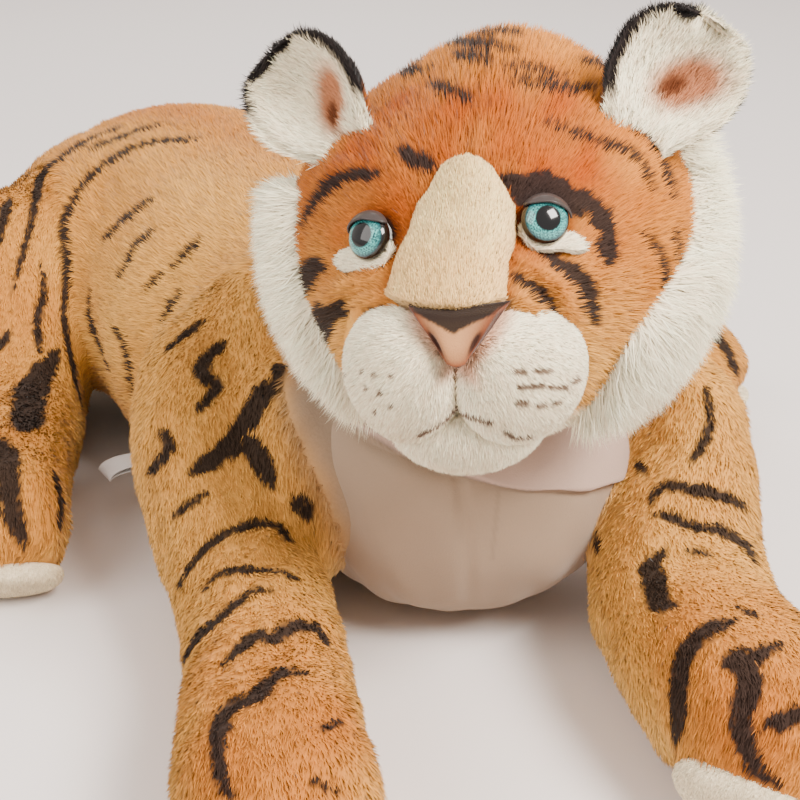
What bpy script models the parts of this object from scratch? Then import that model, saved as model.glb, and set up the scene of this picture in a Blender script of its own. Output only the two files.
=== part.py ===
"""A lying plush tiger, about 0.8 m long, as separate sewn pieces: plush panels, filling, plastic eyes and soles.

Metres, +Z up. The belly rests on z = 0 and the origin is on the belly's flat underside. The tiger faces -Y,
+X is its own left side. The head is turned towards -X.
"""

from math import acos, atan2, cos, exp, pi, radians, sin, sqrt

import bmesh
import bpy
from mathutils import Matrix, Vector

# ---- driving dimensions, metres and degrees --------------------------------------------------------------------

PLUSH = 0.0025  # backing and short pile of a panel
SEAM = 0.0006  # gap between two panels that are sewn together
FILL_GAP = 0.0030  # from the inside of a panel to the filling
POWER = 2.3  # roundness of the body sections: 2 is an ellipse, more is squarer
REST_BELOW = 0.004  # the belly's underside lies flat on the ground where it is nearer to it than this

# Torso sections from rump to neck: centre x, y, z, heading (turned towards -X), pitch (nose up), half width,
# height above the centre, depth below it.
TORSO = [
    (-0.064, 0.396, 0.112, -10, 0, 0.034, 0.036, 0.036),
    (-0.064, 0.376, 0.108, -10, 0, 0.082, 0.084, 0.084),
    (-0.062, 0.340, 0.102, -10, 0, 0.108, 0.110, 0.097),
    (-0.056, 0.290, 0.096, -10, 0, 0.120, 0.128, 0.097),
    (-0.044, 0.220, 0.094, -10, 0, 0.127, 0.135, 0.096),
    (-0.030, 0.150, 0.092, -9, 0, 0.137, 0.137, 0.095),
    (-0.014, 0.080, 0.090, -6, 0, 0.146, 0.139, 0.094),
    (-0.002, 0.010, 0.092, -2, 0, 0.127, 0.137, 0.095),
    (0.001, -0.050, 0.098, 5, 0, 0.099, 0.130, 0.101),
    (0.000, -0.100, 0.112, 14, 12, 0.089, 0.112, 0.114),
    (-0.008, -0.142, 0.136, 20, 32, 0.082, 0.084, 0.118),
    (-0.014, -0.164, 0.160, 22, 50, 0.071, 0.058, 0.086),
    (-0.016, -0.174, 0.176, 22, 58, 0.047, 0.044, 0.052),
]
BELLY_FROM = 2.05  # radians from the spine round to the white belly
BIB_FROM = 1.55  # the same to the bib on the chest

# The head and the neck it turns on.
HEAD_C = Vector((-0.016, -0.222, 0.263))
HEAD_HEADING, HEAD_PITCH, HEAD_ROLL = 36.0, 10.0, -3.0
NECK_P = Vector((-0.008, -0.160, 0.196))
NECK_R = 0.0565  # filling of the neck, a dome about NECK_P
BAND_IN, BAND_OUT = 0.0590, 0.0622
SOCKET_R = 0.0634

# Legs: centre x, y, z, heading, pitch, half width, height above the centre, depth below it.
FORE_RIGHT = [
    (-0.100, -0.004, 0.158, 10, -30, 0.028, 0.028, 0.030),
    (-0.111, -0.030, 0.136, 10, -40, 0.052, 0.050, 0.064),
    (-0.122, -0.070, 0.104, 10, -34, 0.058, 0.064, 0.082),
    (-0.129, -0.120, 0.078, 10, -18, 0.055, 0.060, 0.080),
    (-0.138, -0.174, 0.061, 10, -7, 0.046, 0.050, 0.063),
    (-0.147, -0.226, 0.054, 9, -2, 0.044, 0.045, 0.056),
    (-0.159, -0.276, 0.052, 9, 0, 0.046, 0.045, 0.054),
    (-0.172, -0.324, 0.053, 10, -2, 0.049, 0.046, 0.055),
    (-0.180, -0.364, 0.048, 12, -14, 0.048, 0.041, 0.050),
    (-0.185, -0.388, 0.031, 14, -38, 0.040, 0.028, 0.034),
]
FORE_LEFT = [
    (0.102, -0.096, 0.156, 24, -30, 0.028, 0.028, 0.030),
    (0.110, -0.124, 0.135, 24, -40, 0.052, 0.050, 0.064),
    (0.110, -0.164, 0.104, 22, -34, 0.058, 0.064, 0.080),
    (0.101, -0.208, 0.080, 20, -20, 0.057, 0.060, 0.080),
    (0.088, -0.252, 0.063, 19, -8, 0.052, 0.051, 0.065),
    (0.077, -0.294, 0.056, 20, -2, 0.050, 0.046, 0.058),
    (0.070, -0.334, 0.054, 24, 0, 0.052, 0.047, 0.056),
    (0.063, -0.370, 0.052, 34, -4, 0.053, 0.046, 0.054),
    (0.054, -0.396, 0.046, 48, -18, 0.050, 0.038, 0.048),
    (0.042, -0.408, 0.031, 58, -38, 0.042, 0.027, 0.034),
]
HIND_RIGHT = [
    (-0.182, 0.326, 0.120, 2, -22, 0.028, 0.034, 0.034),
    (-0.188, 0.294, 0.112, 4, -22, 0.045, 0.074, 0.080),
    (-0.194, 0.246, 0.098, 8, -20, 0.050, 0.086, 0.098),
    (-0.202, 0.196, 0.082, 14, -15, 0.049, 0.070, 0.086),
    (-0.212, 0.148, 0.066, 17, -10, 0.045, 0.050, 0.068),
    (-0.224, 0.100, 0.055, 18, -4, 0.042, 0.040, 0.056),
    (-0.238, 0.054, 0.052, 18, 0, 0.041, 0.040, 0.053),
    (-0.250, 0.010, 0.052, 16, -2, 0.043, 0.044, 0.053),
    (-0.256, -0.026, 0.048, 15, -14, 0.042, 0.040, 0.050),
    (-0.259, -0.048, 0.030, 14, -38, 0.036, 0.026, 0.033),
]
HIND_LEFT = [
    (0.078, 0.350, 0.120, -22, -22, 0.028, 0.034, 0.034),
    (0.087, 0.318, 0.112, -22, -22, 0.044, 0.074, 0.080),
    (0.100, 0.268, 0.098, -26, -20, 0.050, 0.086, 0.098),
    (0.118, 0.216, 0.082, -32, -15, 0.049, 0.070, 0.086),
    (0.142, 0.168, 0.066, -38, -10, 0.045, 0.050, 0.068),
    (0.174, 0.128, 0.055, -42, -4, 0.042, 0.040, 0.056),
    (0.210, 0.092, 0.052, -44, 0, 0.041, 0.040, 0.053),
    (0.250, 0.054, 0.052, -44, -2, 0.043, 0.044, 0.053),
    (0.282, 0.024, 0.048, -43, -14, 0.042, 0.040, 0.050),
    (0.300, 0.004, 0.030, -42, -38, 0.036, 0.026, 0.033),
]
TAIL = [
    (-0.030, 0.392, 0.036, -130, 0, 0.020, 0.020, 0.020),
    (0.006, 0.410, 0.022, -112, 0, 0.021, 0.021, 0.022),
    (0.060, 0.424, 0.021, -98, 0, 0.021, 0.021, 0.021),
    (0.115, 0.424, 0.021, -82, 0, 0.021, 0.021, 0.021),
    (0.165, 0.408, 0.021, -64, 0, 0.021, 0.021, 0.021),
    (0.208, 0.378, 0.021, -46, 0, 0.0215, 0.0215, 0.021),
    (0.240, 0.338, 0.0215, -30, 0, 0.022, 0.022, 0.0215),
    (0.256, 0.296, 0.022, -14, 0, 0.022, 0.022, 0.022),
    (0.258, 0.262, 0.020, 0, 0, 0.014, 0.014, 0.016),
]

LEG_GAP = 0.005  # from the torso to a leg, room to lift
SOLE_AT = 0.97  # how far along its sections a leg ends in its sole
SHOULDER_RIGHT = Vector((-0.102, -0.060, 0.118))
SHOULDER_LEFT = Vector((0.086, -0.150, 0.118))
HIP_RIGHT = Vector((-0.170, 0.250, 0.100))
HIP_LEFT = Vector((0.078, 0.270, 0.100))
TAIL_ROOT = Vector((-0.026, 0.394, 0.034))
TAIL_MIDDLE = Vector((0.142, 0.417, 0.021))

TIGER = bpy.data.collections.new("plush_tiger")
TOOLS = bpy.data.collections.new("cutters")


# ---- scene and materials ---------------------------------------------------------------------------------------


def clear_scene():
    for old in list(bpy.data.objects):
        bpy.data.objects.remove(old)
    bpy.context.scene.collection.children.link(TIGER)
    bpy.context.scene.collection.children.link(TOOLS)


def material(name, colour, roughness=0.9, coat=0.0):
    made = bpy.data.materials.new(name)
    made.use_nodes = True
    shader = made.node_tree.nodes["Principled BSDF"]
    shader.inputs["Base Color"].default_value = (*colour, 1.0)
    shader.inputs["Roughness"].default_value = roughness
    shader.inputs["Metallic"].default_value = 0.0
    shader.inputs["Coat Weight"].default_value = coat
    made.diffuse_color = (*colour, 1.0)
    return made


MATERIALS = {
    "plush_orange": ((0.62, 0.30, 0.11), 0.92, 0.0),
    "plush_white": ((0.86, 0.83, 0.79), 0.92, 0.0),
    "plush_cream": ((0.78, 0.62, 0.42), 0.92, 0.0),
    "plush_black": ((0.035, 0.030, 0.032), 0.92, 0.0),
    "bib": ((0.72, 0.66, 0.63), 0.92, 0.0),
    "nose_fabric": ((0.60, 0.36, 0.27), 0.85, 0.0),
    "eye_plastic": ((0.12, 0.42, 0.42), 0.12, 0.6),
    "lid_plastic": ((0.24, 0.19, 0.17), 0.35, 0.0),
    "washer_plastic": ((0.85, 0.85, 0.83), 0.4, 0.0),
    "fibre": ((0.90, 0.90, 0.88), 1.0, 0.0),
    "label_tape": ((0.88, 0.88, 0.90), 0.6, 0.0),
}


# ---- sections --------------------------------------------------------------------------------------------------


def power_of(value, exponent):
    return (1 if value >= 0 else -1) * abs(value) ** exponent


def between(stations, s):
    """The section at s, 0 to 1 along the stations, on a Catmull-Rom curve through them."""
    at = min(max(s, 0.0), 1.0) * (len(stations) - 1)
    i = min(int(at), len(stations) - 2)
    t = at - i
    p = [stations[min(max(i + k, 0), len(stations) - 1)] for k in (-1, 0, 1, 2)]
    return [
        0.5
        * (
            2 * b
            + (c - a) * t
            + (2 * a - 5 * b + 4 * c - d) * t * t
            + (3 * b - a - 3 * c + d) * t * t * t
        )
        for a, b, c, d in zip(*p)
    ]


def axes_of(heading, pitch):
    """Forward, left and up of a section."""
    h, p = radians(heading), radians(pitch)
    forward = Vector((-sin(h) * cos(p), -cos(h) * cos(p), sin(p)))
    left = Vector((cos(h), -sin(h), 0))
    return forward, left, forward.cross(left)


def section_point(stations, s, angle, inset=0.0, floor=0.0):
    """A point of the skin: angle 0 is the top, 90 the tiger's left, 180 the underside."""
    x, y, z, heading, pitch, half, above, below = between(stations, s)
    _, left, up = axes_of(heading, pitch)
    across = power_of(sin(angle), 2 / POWER)
    along = power_of(cos(angle), 2 / POWER)
    height = above if along > 0 else below
    point = Vector((x, y, z))
    point += left * max(half - inset, 0.002) * across
    point += up * max(height - inset, 0.002) * along
    point.z = max(point.z, floor)
    return point


def plan_outline(side, step=0.005):
    """How far the torso reaches to one side in plan, as {row: side * x}, row being y over step."""
    reach = {}
    for i in range(241):
        for k in range(37):
            p = section_point(TORSO, i / 240, side * pi * k / 36)
            row = round(p.y / step)
            reach[row] = max(reach.get(row, -1.0), side * p.x)
    return reach


REACH = {}


def beside(point, side, gap):
    """Moves a leg's point out of the torso's plan outline, gap clear of it."""
    if not REACH:
        REACH.update({-1: plan_outline(-1), 1: plan_outline(1)})
    at = point.y / 0.005
    low = int(at // 1)
    rows = REACH[side]
    if low in rows and low + 1 in rows:
        reach = rows[low] + (rows[low + 1] - rows[low]) * (at - low)
        point.x = side * max(side * point.x, reach + gap)
    return point


# ---- mesh makers -----------------------------------------------------------------------------------------------


def add(name, mesh, slot, collection=TIGER):
    made = bpy.data.objects.new(name, mesh)
    collection.objects.link(made)
    if slot:
        made.data.materials.append(bpy.data.materials[slot])
    return made


def finish_mesh(name, bm, slot, smooth=True):
    mesh = bpy.data.meshes.new(name)
    bm.to_mesh(mesh)
    bm.free()
    if smooth:
        mesh.shade_smooth()
    return add(name, mesh, slot)


def closed_form(name, surface, along, around, slot):
    """A closed solid: a UV sphere whose rows and columns take their places from surface(s, angle)."""
    bm = bmesh.new()
    bmesh.ops.create_uvsphere(bm, u_segments=around, v_segments=along, radius=1.0)
    for v in bm.verts:
        s = acos(min(1.0, max(-1.0, v.co.z))) / pi
        v.co = surface(s, atan2(v.co.x, v.co.y))
    face_out(bm)
    return finish_mesh(name, bm, slot)


def face_out(bm):
    """Turns a closed mesh's faces outwards."""
    bmesh.ops.recalc_face_normals(bm, faces=bm.faces)
    if bm.calc_volume(signed=True) < 0:
        bmesh.ops.reverse_faces(bm, faces=bm.faces)


def tube_form(name, surface, along, around, slot, thickness, open_end=True):
    """A plush tube: the same sphere without its start cap, and without its end cap if open, made a shell inwards."""
    bm = bmesh.new()
    bmesh.ops.create_uvsphere(bm, u_segments=around, v_segments=along, radius=1.0)
    poles = []
    last = along - 1 if open_end else along
    for v in bm.verts:
        row = round(acos(min(1.0, max(-1.0, v.co.z))) / pi * along)
        if row == 0 or row > last:
            poles.append(v)
        v.co = surface(min(1.0, max(0.0, (row - 1) / (last - 1))), atan2(v.co.x, v.co.y))
    face_out(bm)
    bmesh.ops.delete(bm, geom=poles, context="VERTS")
    made = finish_mesh(name, bm, slot)
    solidify(made, thickness)
    return made


def panel(name, surface, u0, u1, nu, v0, v1, nv, slot, thickness, inside):
    """An open plush panel over a grid of surface(u, v), made a shell towards the inside point."""
    bm = bmesh.new()
    bmesh.ops.create_grid(bm, x_segments=nu, y_segments=nv, size=1.0)
    for v in bm.verts:
        u = u0 + (u1 - u0) * (v.co.x + 1) / 2
        w = v0 + (v1 - v0) * (v.co.y + 1) / 2
        v.co = surface(u, w)
    bm.normal_update()
    facing = sum((f.normal.dot(f.calc_center_median() - inside(f.calc_center_median()))) * f.calc_area() for f in bm.faces)
    if facing < 0:
        bmesh.ops.reverse_faces(bm, faces=bm.faces)
    made = finish_mesh(name, bm, slot)
    solidify(made, thickness)
    return made


def solidify(made, thickness):
    wall = made.modifiers.new("backing", "SOLIDIFY")
    wall.thickness = thickness
    wall.offset = -1.0
    wall.use_rim = True


def turned(name, profile, place, slot, steps=16, closed=False):
    """A turned piece: profile is (radius, height) from the top down its outer side; place is its 4x4 matrix."""
    mesh = bpy.data.meshes.new(name)
    points = [(r, 0.0, h) for r, h in profile]
    edges = [(i, i + 1) for i in range(len(points) - 1)]
    if closed:
        edges.append((len(points) - 1, 0))
    mesh.from_pydata(points, edges, [])
    made = add(name, mesh, slot)
    screw = made.modifiers.new("turn", "SCREW")
    screw.steps = screw.render_steps = steps
    screw.use_merge_vertices = True
    screw.merge_threshold = 0.00002
    screw.use_smooth_shade = True
    made.matrix_world = place
    return made


def cutter_ball(name, centre, radius, segments=24):
    bm = bmesh.new()
    bmesh.ops.create_uvsphere(bm, u_segments=segments, v_segments=segments // 2, radius=radius)
    mesh = bpy.data.meshes.new(name)
    bm.to_mesh(mesh)
    bm.free()
    made = add(name, mesh, None, TOOLS)
    made.location = centre
    made.hide_render = True
    made.display_type = "WIRE"
    return made


def cutter_rod(name, radius, low, high, place, segments=12):
    bm = bmesh.new()
    bmesh.ops.create_cone(
        bm, cap_ends=True, segments=segments, radius1=radius, radius2=radius, depth=high - low,
        matrix=Matrix.Translation((0, 0, (high + low) / 2)),
    )
    mesh = bpy.data.meshes.new(name)
    bm.to_mesh(mesh)
    bm.free()
    made = add(name, mesh, None, TOOLS)
    made.matrix_world = place
    made.hide_render = True
    made.display_type = "WIRE"
    return made


def cut(made, cutter):
    step = made.modifiers.new(f"cut_{cutter.name}", "BOOLEAN")
    step.operation = "DIFFERENCE"
    step.object = cutter


# ---- torso -----------------------------------------------------------------------------------------------------


def torso_centre(point):
    """The torso's own axis nearest to a point, for telling inside from outside."""
    best = min(TORSO, key=lambda t: (Vector(t[:3]) - point).length)
    return Vector(best[:3])


def belly_edge(s):
    """How far round from the spine the side panel goes, at s along the torso."""
    t = min(1.0, max(0.0, (s - 0.66) / 0.12))
    return BELLY_FROM + (BIB_FROM - BELLY_FROM) * t * t * (3 - 2 * t)


def make_torso():
    skin = lambda s, a: section_point(TORSO, s, a)
    half_seam = 0.010  # radians, about 1 mm at the back
    right = lambda s, k: skin(s, -(half_seam + k * (belly_edge(s) - half_seam)))
    left = lambda s, k: skin(s, half_seam + k * (belly_edge(s) - half_seam))
    under = lambda s, k: skin(s, pi + k * (pi - belly_edge(s) - 0.03))

    def belly(s, k):
        point = under(s, k)
        if point.z < REST_BELOW:
            point.z = 0.0
        return point

    panel("torso_side_right", right, 0.015, 0.93, 16, 0, 1, 7, "plush_orange", PLUSH, torso_centre)
    panel("torso_side_left", left, 0.015, 0.93, 16, 0, 1, 7, "plush_orange", PLUSH, torso_centre)
    panel("belly_panel", belly, 0.10, 0.70, 12, -1, 1, 6, "plush_white", PLUSH, torso_centre)
    panel("chest_bib", under, 0.706, 0.93, 6, -1, 1, 8, "bib", PLUSH, torso_centre)
    inset = PLUSH + FILL_GAP + 0.0025

    def filling(s, a):
        s = 0.035 + s * 0.965
        return section_point(TORSO, s, a, inset, inset)

    closed_form("torso_filling", filling, 16, 16, "fibre")


# ---- head ------------------------------------------------------------------------------------------------------


def head_axes():
    h, p, r = radians(HEAD_HEADING), radians(HEAD_PITCH), radians(HEAD_ROLL)
    forward0 = Vector((-sin(h), -cos(h), 0))
    left0 = Vector((cos(h), -sin(h), 0))
    up0 = Vector((0, 0, 1))
    forward = forward0 * cos(p) + up0 * sin(p)
    up1 = up0 * cos(p) - forward0 * sin(p)
    up = up1 * cos(r) + left0 * sin(r)
    left = left0 * cos(r) - up1 * sin(r)
    return forward, left, up


HEAD_F, HEAD_L, HEAD_U = head_axes()


def head_radius(d):
    """Distance from the head's centre to its skin along d = (left, forward, up) of length 1."""
    a, f, u = d
    side = 0.105
    deep = 0.086 if f > 0 else 0.092
    tall = 0.103 if u > 0 else 0.096
    r = 1 / sqrt((a / side) ** 2 + (f / deep) ** 2 + (u / tall) ** 2)
    muzzle = acos(max(-1.0, min(1.0, f * cos(radians(-31)) + u * sin(radians(-31)))))
    r += 0.034 * exp(-((muzzle / radians(32)) ** 2))
    crown = acos(max(-1.0, min(1.0, -f * sin(radians(20)) + u * cos(radians(20)))))
    r += 0.008 * exp(-((crown / radians(30)) ** 2))
    return r


def head_point(turn, lift, off=0.0):
    """A point on the head at turn degrees to its left of the nose and lift degrees up, off metres above the skin."""
    t, e = radians(turn), radians(lift)
    d = (sin(t) * cos(e), cos(t) * cos(e), sin(e))
    r = head_radius(d) + off
    return HEAD_C + HEAD_L * (d[0] * r) + HEAD_F * (d[1] * r) + HEAD_U * (d[2] * r)


def front_edge(lift):
    """Where the orange side panel starts beside the cream bridge and the white muzzle, in degrees of turn."""
    knots = [(-45, 48), (-22, 47), (-11, 40), (-5, 19), (6, 15), (18, 13), (29, 6), (35, 0.5), (90, 0.5)]
    for (l0, t0), (l1, t1) in zip(knots, knots[1:]):
        if lift <= l1:
            return t0 + (t1 - t0) * (lift - l0) / (l1 - l0)
    return knots[-1][1]


PATCH_LOW = {-1: -2.5, 1: 0.5}  # lift of each eye patch's lower edge
RUFF_TOP = {-1: 8, 1: 14}  # lift of each ruff's upper end, below the ear


def make_head():
    inside = lambda p: HEAD_C
    ball = cutter_ball("neck_socket", NECK_P, SOCKET_R)

    for side, name in ((-1, "right"), (1, "left")):
        orange = lambda u, lift, side=side: head_point(side * (front_edge(lift) + 0.5 + u * (178.9 - front_edge(lift))), lift)
        made = panel(f"head_side_{name}", orange, 0, 1, 12, -43, 84, 10, "plush_orange", PLUSH, inside)
        cut(made, ball)
        pad = lambda u, lift, side=side: head_point(
            side * (0.5 + u * (front_edge(lift) - 4.4)), lift, 0.010 * sin(pi * min(1, max(0, u * 0.9 + 0.08))) * sin(pi * (lift + 43) / 38)
        )
        panel(f"muzzle_{name}", pad, 0, 1, 5, -42.5, -6.0, 5, "plush_white", 0.004, inside)
        patch = lambda u, v, side=side: head_point(side * (19.5 + 24 * u), PATCH_LOW[side] + 8 * v + 3 * u, 0.0028)
        panel(f"eye_patch_{name}", patch, 0, 1, 4, 0, 1, 2, "plush_white", 0.0017, inside)
        ruff = lambda u, lift, side=side: head_point(side * (62 + 42 * u + 0.2 * min(0, lift)), lift, 0.017)
        made = panel(f"ruff_{name}", ruff, 0, 1, 4, -48, RUFF_TOP[side], 7, "plush_white", 0.0155, inside)
        cut(made, ball)

    bridge = lambda u, lift: head_point(u * (front_edge(lift) - 0.9), lift, 0.002)
    panel("nose_bridge", bridge, -1, 1, 4, -4.0, 33.5, 6, "plush_cream", 0.004, inside)
    under = lambda turn, lift: head_point(turn, lift)
    made = panel("throat_panel", under, -179.4, 179.4, 20, -84, -44, 4, "plush_white", PLUSH, inside)
    cut(made, ball)
    nose = lambda u, v: head_point(u * (1.5 + 11 * v), -18.5 + 11 * v, 0.011)
    panel("nose", nose, -1, 1, 4, 0, 1, 3, "nose_fabric", 0.0045, inside)

    def filling(s, a):
        lift = 90 - s * 180
        return head_point(a * 180 / pi, lift, -(PLUSH + 0.0036))

    made = closed_form("head_filling", filling, 12, 16, "fibre")
    cut(made, ball)
    return made


EYE_AT = {-1: (-26.5, 9), 1: (26.5, 14)}  # turn and lift of each eye on the head


def eye_place(side):
    """The eye's own frame: Z out of the face."""
    turn, lift = EYE_AT[side]
    centre = head_point(turn, lift)
    across = head_point(turn + 3, lift) - head_point(turn - 3, lift)
    out = across.cross(head_point(turn, lift + 3) - head_point(turn, lift - 3)).normalized()
    if out.dot(HEAD_F) < 0:
        out.negate()
    right = HEAD_U.cross(out).normalized()
    up = out.cross(right)
    rows = Matrix((right, up, out)).transposed().to_4x4()
    rows.translation = centre + out * 0.0012
    return rows


EYE_R = 0.0105


def make_eyes(head_filling):
    for side, name in ((-1, "right"), (1, "left")):
        place = eye_place(side)
        dome = [(0.0, 0.0066)]
        for k in range(1, 6):
            t = k / 5 * pi / 2
            dome.append((EYE_R * sin(t), 0.0008 + 0.0058 * cos(t)))
        dome += [(EYE_R, 0.0), (0.0026, 0.0), (0.0026, -0.0125), (0.0, -0.0135)]
        turned(f"eye_{name}", dome, place, "eye_plastic", 14)
        ring = [(0.0032, -0.0052), (0.0080, -0.0052), (0.0080, -0.0066), (0.0032, -0.0066)]
        turned(f"eye_washer_{name}", ring, place, "washer_plastic", 12, closed=True)
        lid = lambda az, el, place=place: place @ Vector(
            (
                0.0122 * sin(radians(az)) * cos(radians(el)),
                0.0122 * sin(radians(el)),
                0.0010 + 0.0086 * cos(radians(az)) * cos(radians(el)),
            )
        )
        panel(f"eyelid_{name}", lid, -72, 72, 7, 26, 80, 3, "lid_plastic", 0.0010, lambda p, place=place: place.translation)
        hole = cutter_rod(f"stem_hole_{name}", 0.0029, -0.020, 0.006, place)
        recess = cutter_rod(f"washer_recess_{name}", 0.0088, -0.0080, 0.002, place)
        cut(bpy.data.objects[f"head_side_{name}"], hole)
        seat = cutter_rod(f"eye_seat_{name}", EYE_R + 0.0006, -0.006, 0.012, place, 16)
        cut(bpy.data.objects[f"eye_patch_{name}"], seat)
        cut(head_filling, recess)
        cut(head_filling, hole)


EAR_HALF, EAR_TALL, EAR_CUP = 0.038, 0.058, 0.013
EAR_AT = {-1: (-56, 33), 1: (64, 34)}  # turn and lift of each ear's root on the head
EAR_LEAN = {-1: 40, 1: 22}  # degrees an ear leans outwards


def ear_frame(side):
    base = head_point(*EAR_AT[side], 0.001)
    lean = radians(EAR_LEAN[side])
    up = (HEAD_L * (side * sin(lean)) + HEAD_U * cos(lean) - HEAD_F * 0.05).normalized()
    face = (HEAD_F * 0.95 + HEAD_L * (side * 0.25)).normalized()
    across = face.cross(up).normalized()
    face = up.cross(across).normalized()
    return base, up, across, face


def above_head(point, up, clear=0.0068):
    """How far a point has to move along up to stand clear of the head."""
    far = 0.0
    while far < 0.05:
        d = point + up * far - HEAD_C
        local = (d.dot(HEAD_L), d.dot(HEAD_F), d.dot(HEAD_U))
        if d.length > head_radius([c / d.length for c in local]) + clear:
            break
        far += 0.0005
    return far


def make_ears():
    for side, name in ((-1, "right"), (1, "left")):
        base, up, across, face = ear_frame(side)

        def shape(u, v, off, base=base, up=up, across=across, face=face):
            wide = EAR_HALF * (0.80 + 0.35 * v) * sqrt(max(0.02, 1 - v**2.8))
            cup = EAR_CUP * (1 - u * u) * (0.5 + 0.5 * sin(pi * min(1, v + 0.15)))
            point = base + up * (0.004 + v * EAR_TALL) + across * (u * wide) - face * (cup + off)
            if v < 0.2:
                foot = base + across * (u * wide) - face * (cup + off)
                point += up * max(0.0, above_head(foot, up) - 0.004) * (1 - v / 0.2)
            return point

        centre = base + up * 0.04 + face * 0.2
        toward = lambda p, c=centre: c
        panel(f"ear_back_{name}", lambda u, v, f=shape: f(u, v, 0.0074), -1, 1, 6, 0, 0.96, 6, "plush_black", PLUSH, toward)
        panel(f"ear_front_{name}", lambda u, v, f=shape: f(u * 0.98, v, 0.0024), -1, 1, 6, 0, 0.955, 6, "plush_white", 0.0022, toward)


def make_neck():
    """The fabric ring between chest and head, a zone of a ball about the neck's turning point."""
    axis = (HEAD_C - NECK_P).normalized()
    right = Vector((1, 0, 0)).cross(axis).normalized()
    rows = Matrix((right, axis.cross(right), axis)).transposed().to_4x4()
    rows.translation = NECK_P
    profile = []
    low, high, n = radians(24), radians(84), 4
    for k in range(n + 1):
        t = low + (high - low) * k / n
        profile.append((BAND_OUT * sin(t), BAND_OUT * cos(t)))
    for k in range(n + 1):
        t = high + (low - high) * k / n
        profile.append((BAND_IN * sin(t), BAND_IN * cos(t)))
    turned("neck_band", profile, rows, "plush_white", 20, closed=True)
    dome = [(0.0, NECK_R)]
    for k in range(1, 6):
        t = k / 5 * radians(77)
        dome.append((NECK_R * sin(t), NECK_R * cos(t)))
    dome.append((0.0, NECK_R * cos(radians(77))))
    turned("neck_filling", dome, rows, "fibre", 20)


# ---- legs and tail ---------------------------------------------------------------------------------------------


def make_leg(name, stations, side, sole_at):
    """Skin tube open at the seam and at the sole, and the filling inside it."""

    def skin(s, a):
        return beside(section_point(stations, 0.02 + s * (sole_at - 0.02), a), side, LEG_GAP)

    def filling(s, a):
        s = 0.05 + s * (sole_at - 0.095)
        inset = PLUSH + FILL_GAP + 0.002
        return beside(section_point(stations, s, a, inset, inset), side, LEG_GAP + inset + 0.002)

    tube_form(f"{name}_skin", skin, 12, 12, "plush_orange", PLUSH)
    closed_form(f"{name}_filling", filling, 9, 12, "fibre")


def make_sole(name, stations, sole_at):
    """A padded sole disc that closes the leg's open end."""
    x, y, z, heading, pitch, half, above, below = between(stations, sole_at)
    forward, left, up = axes_of(heading, pitch)
    centre = Vector((x, y, z))

    def disc(s, a):
        lift = cos(s * pi)
        spread = sin(s * pi)
        height = above if cos(a) > 0 else below
        p = centre + forward * (0.004 + 0.0045 * lift)
        p += left * ((half - 0.001) * spread * power_of(sin(a), 2 / POWER))
        p += up * ((height - 0.001) * spread * power_of(cos(a), 2 / POWER))
        p.z = max(p.z, 0.0)
        return p

    closed_form(name, disc, 6, 12, "plush_cream")


def make_tail():
    skin = lambda a0, a1: (lambda s, a: section_point(TAIL, a0 + s * (a1 - a0), a))
    fill = lambda a0, a1: (
        lambda s, a: section_point(TAIL, a0 + s * (a1 - a0), a, PLUSH + FILL_GAP, PLUSH + FILL_GAP)
    )
    tube_form("tail_root_skin", skin(0.05, 0.430), 7, 12, "plush_orange", PLUSH)
    closed_form("tail_root_filling", fill(0.08, 0.410), 6, 8, "fibre")
    tube_form("tail_end_skin", skin(0.453, 0.80), 6, 12, "plush_orange", PLUSH)
    closed_form("tail_end_filling", fill(0.48, 0.79), 5, 8, "fibre")
    tube_form("tail_tip_skin", skin(0.815, 1.0), 5, 12, "plush_black", PLUSH, open_end=False)


def make_label():
    """The folded care label at the right flank seam, bare."""
    root = Vector((-0.150, 0.052, 0.034))
    out = Vector((-0.95, -0.20, -0.12)).normalized()
    along = Vector((0.18, -0.96, 0.0)).normalized()
    tape = lambda u, v: root + out * (0.004 + 0.026 * v) + along * (0.021 * (u - 0.5)) + Vector((0, 0, 0.004 * sin(pi * v)))
    panel("care_label", tape, 0, 1, 2, 0, 1, 4, "label_tape", 0.0010, lambda p: p + Vector((0, 0, -1)))


def hang(joint, point, starts):
    """Parents every piece whose name begins with one of starts to an empty on its joint's axis."""
    axis = bpy.data.objects.new(f"{joint}_axis", None)
    TIGER.objects.link(axis)
    axis.location = point
    for piece in list(TIGER.objects):
        if piece.type == "MESH" and piece.parent is None and piece.name.startswith(starts):
            piece.parent = axis
            piece.matrix_parent_inverse = Matrix.Translation(-Vector(point))


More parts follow.
